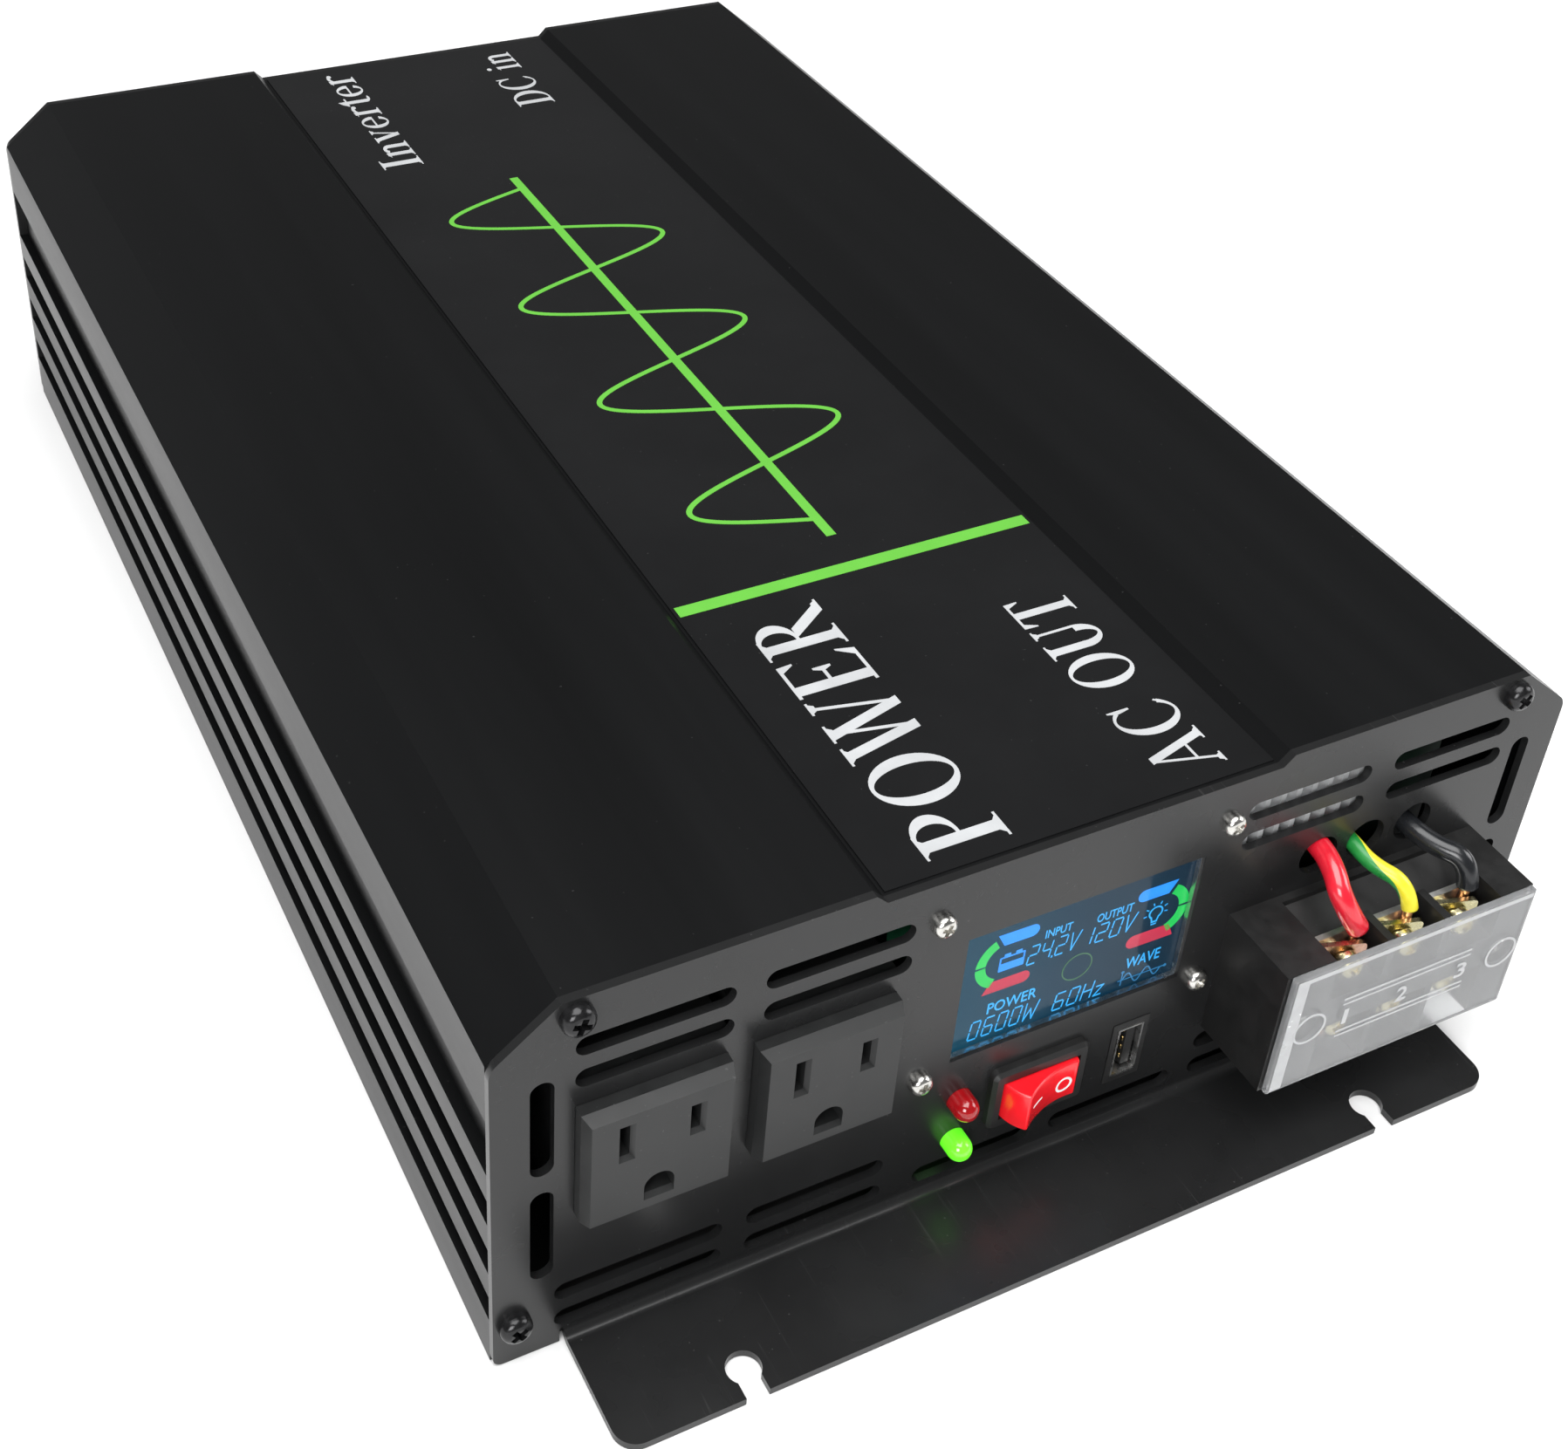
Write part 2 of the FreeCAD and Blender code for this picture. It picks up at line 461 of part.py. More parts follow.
cov = box(bx0 + 0.8, bx1 - 0.3, -bd - 1.6, -bd, bz0 - 0.1, bz1 + 0.1)
cov = cov.makeChamfer(0.5, edges_at(cov, lambda b: b.YMax < -bd - 1.59))
save("terminal_cover", cov)
ms = screw(2.8, 1.8, 1.5, 20.5)
mscr = []
for i, (x, z) in enumerate(TB_SCREW):
    s = put(ms, x, -14.8, z, 30 + 50 * i)
    mscr.append(s)
nuts = []
for x, z in TB_SCREW:
    n = prism_y([(x + 3.2 * math.cos(math.radians(60 * k)), z + 3.2 * math.sin(math.radians(60 * k))) for k in range(6)], T, T + 2.2)
    nuts.append(n.cut(cyl_y(x, z, 0, 6, 1.55)))
save("terminal_mount_screws", mscr + nuts)

# ---------------------------------------------------------------- output board and its heatsink, behind the front panel
ob = box(148.0, 202.0, 10.0, 11.6, 26.0, 78.0)
save("output_board", ob)
hs = [box(147.5, 177.5, 8.4, 10.0, 61.0, 79.5)]
n = 9
for i in range(n):
    x = 147.5 + i * (30.0 - 1.2) / (n - 1)
    hs.append(box(x, x + 1.2, 2.6, 8.4, 61.0, 79.5))
save("output_heatsink", fuse(hs))

# ---------------------------------------------------------------- fans
def fan_frame(x):
    h = FAN_S / 2
    y0, y1 = L - T - FAN_T, L - T
    f = box(x - h, x + h, y0, y1, FAN_Z - h, FAN_Z + h)
    f = f.makeFillet(4.0, edges_at(f, lambda b: b.YLength > 5 and b.XLength < 0.01 and b.ZLength < 0.01))
    f = f.cut(cyl_y(x, FAN_Z, y0 - 1, y1 + 1, 28.6))
    for dx in (-25, 25):
        for dz in (-25, 25):
            f = f.cut(cyl_y(x + dx, FAN_Z + dz, y0 - 1, y1 + 1, 2.1))
    hub = cyl_y(x, FAN_Z, y0, y0 + 1.8, 13.5)
    arms = []
    for k in range(4):
        a = box(-1.8, 1.8, y0, y0 + 1.8, 12.5, 30.0)
        a.rotate(V(0, 0, 0), V(0, 1, 0), 20 + 90 * k)
        a.translate(V(x, 0, FAN_Z))
        arms.append(a)
    tube = cyl_y(x, FAN_Z, y0, y0 + 9.5, 4.0)
    f = fuse([f, hub, tube] + arms)
    return f.cut(cyl_y(x, FAN_Z, y0 + 1.0, y0 + 12, 1.55))


def fan_rotor(x):
    y0 = L - T - FAN_T
    cup = cyl_y(0, 0, 2.4, 13.2, 12.6).cut(cyl_y(0, 0, 1, 11.8, 11.2))
    e = edges_at(cup, lambda b: b.YMin > 13.1 and b.XLength > 20)
    cup = cup.makeFillet(1.2, e)
    shaft = cyl_y(0, 0, 1.6, 12.4, 1.5)
    parts = [cup, shaft]
    for k in range(7):
        bl = box(-0.55, 0.55, -5.6, 5.6, 12.0, 29.0)
        bl.rotate(V(0, 0, 0), V(0, 0, 1), 48)
        bl.translate(V(0, 7.8, 0))
        bl.rotate(V(0, 0, 0), V(0, 1, 0), k * 360.0 / 7)
        bl = bl.common(cyl_y(0, 0, 2.4, 13.2, 28.0))
        parts.append(bl)
    r = fuse(parts)
    r.translate(V(x, y0, FAN_Z))
    return r


save("fan_left_frame", fan_frame(FAN_X[0]))
save("fan_right_frame", fan_frame(FAN_X[1]))
save("fan_left_rotor", fan_rotor(FAN_X[0]))
save("fan_right_rotor", fan_rotor(FAN_X[1]))

guards, fsc = [], []
fs = screw(3.0, 2.2, 1.6, 20.0)
for x in FAN_X:
    yg = L + 2.4
    g = []
    for r in (9.0, 16.0, 23.0, 29.5):
        g.append(Part.makeTorus(r, 0.9, V(x, yg, FAN_Z), V(0, 1, 0)))
    for k in range(4):
        a = box(-0.8, 0.8, yg - 2.1, yg - 0.5, 8.5, 35.36)
        a.rotate(V(0, 0, 0), V(0, 1, 0), 45 + 90 * k)
        a.translate(V(x, 0, FAN_Z))
        g.append(a)
    for dx in (-25, 25):
        for dz in (-25, 25):
            g.append(cyl_y(x + dx, FAN_Z + dz, L, L + 1.9, 3.4))
    g = fuse(g)
    for dx in (-25, 25):
        for dz in (-25, 25):
            g = g.cut(cyl_y(x + dx, FAN_Z + dz, L - 1, L + 4, 1.75))
            fsc.append(mirror_y(put(fs, x + dx, -1.9, FAN_Z + dz, dx + dz)))
    guards.append(g)
save("fan_guards", guards)

# ---------------------------------------------------------------- DC input posts and case ground
for tag, x in (("positive", POST_X[0]), ("negative", POST_X[1])):
    ins = box(x - 11.5, x + 11.5, L, L + 4.5, POST_Z - 11.5, POST_Z + 11.5)
    ins = ins.makeFillet(2.0, edges_at(ins, lambda b: b.YLength > 4 and b.XLength < 0.01 and b.ZLength < 0.01))
    ins = ins.makeChamfer(1.0, edges_at(ins, lambda b: b.YMin > L + 4.49))
    ins = ins.fuse(cyl_y(x, POST_Z, L - T - 2.0, L, 8.9))
    ins = ins.cut(cyl_y(x, POST_Z, L - 6, L + 8, POST_R + 0.05))
    for dx, dz in ((-8.5, -8.5), (8.5, 8.5)):
        ins = ins.cut(cyl_y(x + dx, POST_Z + dz, L - 1, L + 6, 1.5)).cut(cyl_y(x + dx, POST_Z + dz, L + 2.6, L + 6, 2.6))
    save("dc_insulator_" + tag, ins.removeSplitter())
    post = cyl_y(x, POST_Z, L - 16.0, L + POST_P, POST_R)
    post = post.makeChamfer(0.8, edges_at(post, lambda b: b.YMin > L + POST_P - 0.01))
    post = post.cut(cyl_y(x, POST_Z, L + POST_P - 17.0, L + POST_P + 1, POST_BORE))
    for yy in (9.5, 16.5):
        post = post.cut(cyl_z(x, L + yy, POST_Z + 3.0, POST_Z + 9, 2.05))
    save("dc_post_" + tag, post.removeSplitter())
sets, iscr = [], []
for x in POST_X:
    for yy in (9.5, 16.5):
        s = cyl_z(x, L + yy, POST_Z + POST_BORE + 0.15, POST_Z + 8.2, 2.0)
        hexc = Part.Face(Part.makePolygon([V(x + 1.15 * math.cos(math.radians(60 * k)), L + yy + 1.15 * math.sin(math.radians(60 * k)), POST_Z + 6.4) for k in range(7)])).extrude(V(0, 0, 3))
        sets.append(s.cut(hexc))
    for dx, dz in ((-8.5, -8.5), (8.5, 8.5)):
        iscr.append(mirror_y(put(screw(2.4, 1.7, 1.4, 7.0), x + dx, -2.6, POST_Z + dz, 15 + dx)))
save("dc_clamp_screws", sets)
save("rear_fitting_screws", fsc + iscr)
gx, gz = W / 2, 20.0
hexn = prism_y([(gx + 4.6 * math.cos(math.radians(60 * k)), gz + 4.6 * math.sin(math.radians(60 * k))) for k in range(6)], L + 1.0, L + 5.0)
gs = fuse([hexn, cyl_y(gx, gz, L, L + 1.0, 5.2), cyl_y(gx, gz, L - 8, L + 9.0, 2.5)])
save("ground_screw", gs)

# ---------------------------------------------------------------- inside: boards and power parts
MB = (22.0, 198.0, 40.0, 314.0, 9.0, 10.6)
board = box(*MB)
STAND = [(x, y) for x in (30.0, 190.0) for y in (52.0, 177.0, 302.0)]
for x, y in STAND:
    board = board.cut(cyl_z(x, y, 8, 12, 1.6))
save("main_board", board)
st = []
for x, y in STAND:
    st.append(fuse([cyl_z(x, y, 1.5, 9.0, 3.0), cyl_z(x, y, 9.0, 10.7, 1.5), cyl_z(x, y, 10.7, 12.4, 2.8)]))
save("board_standoffs", st + lcd_spacers)

cores_t, wind = [], []
for x in (62.0, 118.0):
    for y in (170.0,):
        c = box(x, x + 45, y, y + 26, 11.5, 53.5)
        c = c.cut(box(x + 6, x + 14, y - 1, y + 27, 18.5, 46.5)).cut(box(x + 31, x + 39, y - 1, y + 27, 18.5, 46.5))
        cores_t.append(c)
        w_ = box(x + 6.2, x + 38.8, y - 7, y + 33, 18.7, 46.3)
        w_ = w_.makeFillet(4.0, edges_at(w_, lambda b: b.ZLength > 20 and b.XLength < 0.01 and b.YLength < 0.01))
        wind.append(w_.cut(box(x + 13.9, x + 31.1, y - 0.1, y + 26.1, 18, 47)))
save("transformer_cores", cores_t)
save("transformer_windings", wind)
save("input_capacitors", [cyl_z(x, y, 10.6, 40.0, 7.9) for x in (76.0, 94.0, 126.0, 144.0) for y in (248.0, 268.0)])
save("bus_capacitors", [cyl_z(x, 100.0, 10.6, 56.0, 14.5) for x in (84.0, 118.0)])
tor = Part.makeTorus(13.0, 6.0, V(160.0, 78.0, 17.0), V(0, 0, 1))
save("output_choke", tor)
hb = [box(23.0, 30.0, 66.0, 290.0, 10.6, 42.0), box(190.0, 197.0, 66.0, 290.0, 10.6, 42.0)]
hb = [hb[0].cut(box(22, 31, 170.0, 184.0, 10, 14)), hb[1].cut(box(189, 198, 170.0, 184.0, 10, 14))]
save("heatsink_bars", hb)
mos, strips = [], []
for i in range(10):
    y = 74.0 + i * 22.0
    mos.append(box(30.0, 34.5, y, y + 10.2, 14.5, 30.0))
    mos.append(box(185.5, 190.0, y, y + 10.2, 14.5, 30.0))
save("power_transistors", mos)
save("transistor_clamps", [box(34.5, 36.0, 72.0, 284.5, 20.0, 26.0), box(184.0, 185.5, 72.0, 284.5, 20.0, 26.0)])
save("control_board", box(50.0, 132.0, 56.0, 57.6, 10.6, 54.0))
save("fuses", [box(78.0 + 12 * i, 82.0 + 12 * i, 290.0, 309.0, 10.6, 29.0) for i in range(6)])
save("dc_bus_straps", [box(POST_X[0] - 5, POST_X[0] + 5, L - 19.0, L - 16.0, 14.0, POST_Z + 6.9),
                       box(POST_X[1] - 5, POST_X[1] + 5, L - 19.0, L - 16.0, 14.0, POST_Z + 6.9)])

print("nodes", len(NODES))
bb = Part.makeCompound(list(NODES.values())).BoundBox
print("bbox", [round(v, 2) for v in (bb.XMin, bb.XMax, bb.YMin, bb.YMax, bb.ZMin, bb.ZMax)])
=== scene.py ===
import bpy
import math
from mathutils import Vector, Matrix
from mathutils.geometry import delaunay_2d_cdt


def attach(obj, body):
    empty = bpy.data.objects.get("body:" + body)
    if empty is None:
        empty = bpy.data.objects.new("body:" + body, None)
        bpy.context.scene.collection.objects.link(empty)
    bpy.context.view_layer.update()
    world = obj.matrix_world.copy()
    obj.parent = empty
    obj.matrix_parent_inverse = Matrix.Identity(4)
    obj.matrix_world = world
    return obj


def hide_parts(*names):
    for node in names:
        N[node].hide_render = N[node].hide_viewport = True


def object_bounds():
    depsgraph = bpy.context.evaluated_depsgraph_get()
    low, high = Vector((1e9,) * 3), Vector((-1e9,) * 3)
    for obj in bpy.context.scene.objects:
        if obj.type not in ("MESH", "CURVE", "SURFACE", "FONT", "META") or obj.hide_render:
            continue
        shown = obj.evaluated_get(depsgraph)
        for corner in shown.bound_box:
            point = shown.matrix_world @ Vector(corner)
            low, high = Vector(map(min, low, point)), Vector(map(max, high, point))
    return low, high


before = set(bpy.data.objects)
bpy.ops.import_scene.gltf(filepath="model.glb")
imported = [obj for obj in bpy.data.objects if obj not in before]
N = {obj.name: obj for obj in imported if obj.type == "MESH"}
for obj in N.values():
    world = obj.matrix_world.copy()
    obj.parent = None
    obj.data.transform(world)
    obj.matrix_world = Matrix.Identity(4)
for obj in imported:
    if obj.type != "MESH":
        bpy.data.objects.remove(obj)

CAD_BOX = [[float(v) for v in c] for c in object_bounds()]
scene = bpy.context.scene


# ------------------------------------------------------------------ working frame (mm) to scene metres
def F(x, y, z):
    """Millimetres across from the case's left edge, back from the front panel's face, and up."""
    return Vector(((x - 110.0) / 1000, (y - 169.0) / 1000, z / 1000))


# ------------------------------------------------------------------ node materials
class Tree:
    def __init__(self, name):
        self.m = bpy.data.materials.new(name)
        self.m.use_nodes = True
        self.t = self.m.node_tree
        self.t.nodes.clear()
        self.out = self.n("ShaderNodeOutputMaterial")
        self.b = self.n("ShaderNodeBsdfPrincipled")
        self.link(self.b, "BSDF", self.out, "Surface")

    def n(self, kind, **kw):
        node = self.t.nodes.new(kind)
        for k, v in kw.items():
            setattr(node, k, v)
        return node

    def link(self, a, ao, b, bi):
        self.t.links.new(a.outputs[ao], b.inputs[bi])

    def coords(self, stretch=(1, 1, 1), turn=(0, 0, 0)):
        tc = self.n("ShaderNodeTexCoord")
        mp = self.n("ShaderNodeMapping")
        mp.inputs["Scale"].default_value = stretch
        mp.inputs["Rotation"].default_value = turn
        self.link(tc, "Object", mp, "Vector")
        return mp

    def noise(self, scale, detail=3.0, rough=0.55, stretch=(1, 1, 1), turn=(0, 0, 0)):
        mp = self.coords(stretch, turn)
        nz = self.n("ShaderNodeTexNoise")
        nz.inputs["Scale"].default_value = scale
        nz.inputs["Detail"].default_value = detail
        nz.inputs["Roughness"].default_value = rough
        self.link(mp, "Vector", nz, "Vector")
        return nz

    def ramp(self, src, out, stops):
        r = self.n("ShaderNodeValToRGB")
        el = r.color_ramp.elements
        while len(el) < len(stops):
            el.new(0.5)
        for e, (p, c) in zip(el, stops):
            e.position = p
            e.color = (c[0], c[1], c[2], 1) if len(c) == 3 else c
        self.link(src, out, r, "Fac")
        return r

    def maprange(self, src, out, a, b, c, d):
        m = self.n("ShaderNodeMapRange")
        for i, v in ((1, a), (2, b), (3, c), (4, d)):
            m.inputs[i].default_value = v
        self.t.links.new(src.outputs[out], m.inputs[0])
        return m

    def mix(self, fac, fo, a, b, blend="MIX"):
        m = self.n("ShaderNodeMix", data_type="RGBA", blend_type=blend)
        if fac is None:
            m.inputs[0].default_value = fo
        else:
            self.t.links.new(fac.outputs[fo], m.inputs[0])
        for k, v in ((6, a), (7, b)):
            if isinstance(v, tuple) and len(v) == 2 and not isinstance(v[0], float):
                self.t.links.new(v[0].outputs[v[1]], m.inputs[k])
            else:
                m.inputs[k].default_value = (v[0], v[1], v[2], 1)
        return m

    def bump(self, src, out, strength, dist, prev=None):
        b = self.n("ShaderNodeBump")
        b.inputs["Strength"].default_value = strength
        b.inputs["Distance"].default_value = dist
        self.link(src, out, b, "Height")
        if prev is not None:
            self.link(prev, "Normal", b, "Normal")
        return b


def mat(name, color, rough=0.5, metal=0.0, var=0.18, rvar=0.08, vscale=60.0, bump=0.15, bscale=2500.0, bdist=3e-5,
        stretch=(1, 1, 1), spec=0.5, coat=0.0, coat_rough=0.1, trans=0.0, ior=1.5, glow=None, glow_k=0.0,
        specks=None, scratches=None, sss=0.0):
    t = Tree(name)
    b = t.b
    nz = t.noise(vscale, 4.0, 0.6, stretch)
    lo = tuple(max(0.0, c * (1 - var)) for c in color)
    hi = tuple(min(1.0, c * (1 + var)) for c in color)
    col = t.ramp(nz, "Fac", [(0.3, lo), (0.7, hi)])
    last = (col, "Color")
    if scratches:
        # fine hairline marks in two directions, only where a broad mask lets them show
        tint, amount, sc = scratches
        masks = []
        for turn in (0.5, -0.9, 1.9):
            s = t.noise(sc, 2.0, 0.4, (1.0, 0.02, 1.0), (0, 0, turn))
            masks.append(t.ramp(s, "Fac", [(0.0, (0, 0, 0)), (0.70, (0, 0, 0)), (0.715, (1, 1, 1)), (0.73, (0, 0, 0))]))
        br = t.noise(38.0, 2.0, 0.5)
        brm = t.ramp(br, "Fac", [(0.45, (0, 0, 0)), (0.62, (amount,) * 3)])
        a = t.mix(None, 1.0, (masks[0], "Color"), (masks[1], "Color"), "ADD")
        a2 = t.mix(None, 1.0, (a, 2), (masks[2], "Color"), "ADD")
        am = t.mix(None, 1.0, (a2, 2), (brm, "Color"), "MULTIPLY")
        mx = t.mix(am, 2, last, tint)
        last = (mx, 2)
    if specks:
        tint, amount, sc, cut = specks
        s = t.noise(sc, 1.0, 0.3)
        r = t.ramp(s, "Fac", [(0.0, (0, 0, 0)), (cut, (0, 0, 0)), (min(0.999, cut + 0.03), (amount,) * 3)])
        mx = t.mix(r, "Color", last, tint)
        last = (mx, 2)
    t.t.links.new(last[0].outputs[last[1]], b.inputs["Base Color"])
    rr = t.maprange(nz, "Fac", 0.25, 0.75, max(0.02, rough - rvar), min(1.0, rough + rvar))
    t.link(rr, "Result", b, "Roughness")
    if bump:
        fine = t.noise(bscale, 2.0, 0.5, stretch)
        bm = t.bump(fine, "Fac", bump, bdist)
        t.link(bm, "Normal", b, "Normal")
    b.inputs["Metallic"].default_value = metal
    b.inputs["Specular IOR Level"].default_value = spec
    b.inputs["IOR"].default_value = ior
    b.inputs["Coat Weight"].default_value = coat
    b.inputs["Coat Roughness"].default_value = coat_rough
    b.inputs["Transmission Weight"].default_value = trans
    if sss:
        b.inputs["Subsurface Weight"].default_value = sss
        b.inputs["Subsurface Radius"].default_value = (0.002, 0.001, 0.001)
        b.inputs["Subsurface Scale"].default_value = 0.5
    if glow is not None:
        b.inputs["Emission Color"].default_value = (glow[0], glow[1], glow[2], 1)
        b.inputs["Emission Strength"].default_value = glow_k
    return t.m


def srgb(h):
    h = h.lstrip("#")
    out = []
    for i in (0, 2, 4):
        c = int(h[i:i + 2], 16) / 255
        out.append(c / 12.92 if c <= 0.04045 else ((c + 0.055) / 1.055) ** 2.4)
    return tuple(out)


WHITE_DUST = (0.30, 0.30, 0.30)
M = {}
# extruded case: satin black, drawn lightly along its length
M["case"] = mat("case_satin_black", (0.0026, 0.0028, 0.0031), rough=0.36, rvar=0.05, var=0.25, vscale=35, bump=0.14,
                bscale=900, bdist=2e-5, stretch=(1, 0.06, 1), spec=0.30, specks=(WHITE_DUST, 0.06, 1100, 0.80))
M["panel"] = mat("panel_gloss_black", (0.0125, 0.0127, 0.0130), rough=0.27, rvar=0.04, var=0.2, vscale=28, bump=0.10,
                 bscale=1400, bdist=2e-5, spec=0.34, specks=(WHITE_DUST, 0.10, 1200, 0.78),
                 scratches=((0.05, 0.05, 0.05), 0.35, 900))
M["plate"] = mat("base_plate_black", (0.010, 0.010, 0.010), rough=0.5, specks=(WHITE_DUST, 0.08, 1100, 0.78))
M["label"] = mat("label_film_black", (0.0056, 0.0058, 0.0063), rough=0.26, rvar=0.04, var=0.15, vscale=22, bump=0.06,
                 bscale=700, bdist=2e-5, spec=0.5, specks=(WHITE_DUST, 0.06, 1200, 0.80))
M["label_green"] = mat("label_print_green", tuple(c * 0.62 for c in srgb("#78d94f")), rough=0.38, rvar=0.04, var=0.04, vscale=90, bump=0.05, bscale=1500)
M["label_white"] = mat("label_print_silver", (0.46, 0.47, 0.48), rough=0.38, rvar=0.06, var=0.10, vscale=70, bump=0.05, bscale=1500)
M["screw_black"] = mat("screw_black_oxide", (0.020, 0.020, 0.021), rough=0.22, metal=0.6, rvar=0.08, var=0.3, vscale=900,
                       bump=0.2, bscale=5000)
M["screw_silver"] = mat("screw_nickel", (0.62, 0.61, 0.58), rough=0.24, metal=1.0, rvar=0.08, var=0.12, vscale=700, bump=0.15, bscale=4500)
M["outlet"] = mat("outlet_thermoplastic", (0.0145, 0.0150, 0.0152), rough=0.40, rvar=0.06, var=0.15, vscale=240, bump=0.25,
                  bscale=3200, bdist=3e-5, spec=0.36, specks=(WHITE_DUST, 0.10, 1300, 0.77))
M["plastic"] = mat("moulded_black_plastic", (0.0095, 0.0095, 0.0095), rough=0.42, rvar=0.06, var=0.2, vscale=260, bump=0.3,
                   bscale=3600, bdist=3e-5, specks=(WHITE_DUST, 0.08, 1300, 0.78))
M["brass"] = mat("brass", (0.62, 0.40, 0.14), rough=0.3, metal=1.0, vscale=300, bump=0.15)
M["zinc"] = mat("zinc_yellow_plated", (0.86, 0.78, 0.46), rough=0.24, metal=1.0, rvar=0.08, var=0.16, vscale=420, bump=0.25, bscale=3800)
M["clear"] = mat("clear_window", (0.95, 0.97, 0.98), rough=0.03, rvar=0.01, var=0.02, vscale=40, bump=0.0, trans=1.0, ior=1.12, spec=0.4)
M["red_lamp"] = mat("lamp_red", (0.40, 0.006, 0.010), rough=0.08, rvar=0.02, var=0.2, vscale=500, bump=0.05, trans=0.45,
                    ior=1.45, coat=0.5, coat_rough=0.05, sss=0.0, glow=(0.30, 0.002, 0.005), glow_k=0.22)
M["green_lamp"] = mat("lamp_green", (0.16, 0.95, 0.03), rough=0.12, rvar=0.03, var=0.12, vscale=500, bump=0.05, coat=0.5,
                      coat_rough=0.05, glow=(0.10, 1.0, 0.01), glow_k=0.55)
# red rocker plastic; its faint red emission is painted fill light that brightens the rocker's shaded side faces
M["rocker"] = mat("rocker_red", (0.80, 0.010, 0.018), rough=0.20, rvar=0.03, var=0.08, vscale=260, bump=0.08, bscale=2600,
                  coat=0.15, coat_rough=0.10, spec=0.5, glow=(0.55, 0.006, 0.010), glow_k=0.03)
M["white_print"] = mat("print_white", (0.80, 0.80, 0.80), rough=0.4, var=0.06, vscale=600, bump=0.05)
M["shell"] = mat("usb_shell_plated", (0.62, 0.62, 0.61), rough=0.28, metal=1.0, var=0.15, vscale=500, bump=0.15, bscale=2500)
M["tin"] = mat("bar_tin_plated", (0.90, 0.89, 0.84), rough=0.36, metal=1.0, rvar=0.08, var=0.15, vscale=420, bump=0.2, bscale=3200)
M["usb_black"] = mat("usb_housing_black", (0.014, 0.014, 0.014), rough=0.38, var=0.2, vscale=400, bump=0.2)
M["wire_red"] = mat("wire_red_pvc", (0.62, 0.012, 0.028), rough=0.24, rvar=0.04, var=0.12, vscale=330, bump=0.06, bscale=1800,
                    coat=0.5, coat_rough=0.08)
M["wire_black"] = mat("wire_black_pvc", (0.012, 0.013, 0.015), rough=0.24, rvar=0.05, var=0.2, vscale=330, bump=0.12, bscale=1800)
M["copper"] = mat("copper_strand", (0.80, 0.42, 0.26), rough=0.28, metal=1.0, var=0.15, vscale=800, bump=0.5, bscale=2600,
                  bdist=8e-5, stretch=(1, 1, 0.05))
M["copper_plate"] = mat("copper_pink_plate", (0.80, 0.50, 0.38), rough=0.30, metal=1.0, var=0.18, vscale=420, bump=0.2)
M["ins_red"] = mat("insulator_red", (0.50, 0.010, 0.012), rough=0.38, var=0.12, vscale=300, bump=0.2)
M["alu"] = mat("aluminium_bare", (0.62, 0.63, 0.64), rough=0.34, metal=1.0, var=0.10, vscale=200, bump=0.2, bscale=1200, stretch=(1, 1, 0.1))
M["steel"] = mat("steel_bright", (0.60, 0.60, 0.60), rough=0.24, metal=1.0, var=0.10, vscale=300, bump=0.15, bscale=2500)
M["pcb"] = mat("circuit_board_green", (0.012, 0.085, 0.040), rough=0.36, var=0.25, vscale=320, bump=0.3, bscale=1400, coat=0.3)
M["pcb_dark"] = mat("circuit_board_dark_green", (0.004, 0.016, 0.009), rough=0.5, var=0.25, vscale=320, bump=0.3, bscale=1400)
M["ferrite"] = mat("ferrite_dark", (0.035, 0.034, 0.036), rough=0.62, var=0.2, vscale=500, bump=0.3)
M["tape"] = mat("winding_tape_amber", (0.52, 0.34, 0.04), rough=0.34, var=0.15, vscale=220, bump=0.3, bscale=900, stretch=(0.1, 0.1, 1))
M["sleeve"] = mat("capacitor_sleeve", (0.020, 0.030, 0.075), rough=0.32, var=0.2, vscale=260, bump=0.12)
M["fuse"] = mat("fuse_body_amber", (0.62, 0.26, 0.02), rough=0.22, var=0.12, vscale=400, bump=0.1, coat=0.4)
M["fins"] = mat("fin_light_grey", (0.72, 0.73, 0.74), rough=0.5, metal=0.3, var=0.10, vscale=260, bump=0.2, bscale=1500)

USE = {
    "case": ["case_shell"],
    "panel": ["front_panel", "rear_panel"],
    "plate": ["base_plate"],
    "label": ["label_sheet"],
    "screw_black": ["panel_screws", "base_screws", "rear_fitting_screws"],
    "screw_silver": ["lcd_screws", "terminal_mount_screws"],
    "outlet": ["outlet_left_body", "outlet_right_body"],
    "plastic": ["terminal_block_body", "switch_bezel", "fan_left_frame", "fan_right_frame", "fan_left_rotor",
                "fan_right_rotor", "dc_insulator_negative", "power_transistors", "board_standoffs"],
    "tin": ["terminal_bars"],
    "brass": ["outlet_contacts", "dc_post_positive", "dc_post_negative", "switch_tabs"],
    "zinc": ["terminal_screws"],
    "clear": ["lcd_lens"],
    "red_lamp": ["led_red"],
    "green_lamp": ["led_green"],
    "rocker": ["switch_rocker"],
    "usb_black": ["usb_housing", "usb_tongue"],
    "shell": ["usb_shell"],
    "wire_red": ["wire_red"],
    "wire_black": ["wire_black"],
    "copper": ["wire_cores", "dc_bus_straps"],
    "ins_red": ["dc_insulator_positive"],
    "alu": ["heatsink_bars"],
    "fins": ["output_heatsink"],
    "steel": ["fan_guards", "ground_screw", "dc_clamp_screws", "transistor_clamps"],
    "pcb": ["main_board", "control_board", "front_boards"],
    "pcb_dark": ["output_board"],
    "ferrite": ["transformer_cores", "output_choke"],
    "tape": ["transformer_windings"],
    "sleeve": ["input_capacitors", "bus_capacitors"],
    "fuse": ["fuses"],
}


def paint(o, m):
    if not o.data.materials:
        o.data.materials.append(m)
    for s in o.material_slots:
        s.link = "OBJECT"
        s.material = m


for key, names in USE.items():
    for n in names:
        paint(N[n], M[key])


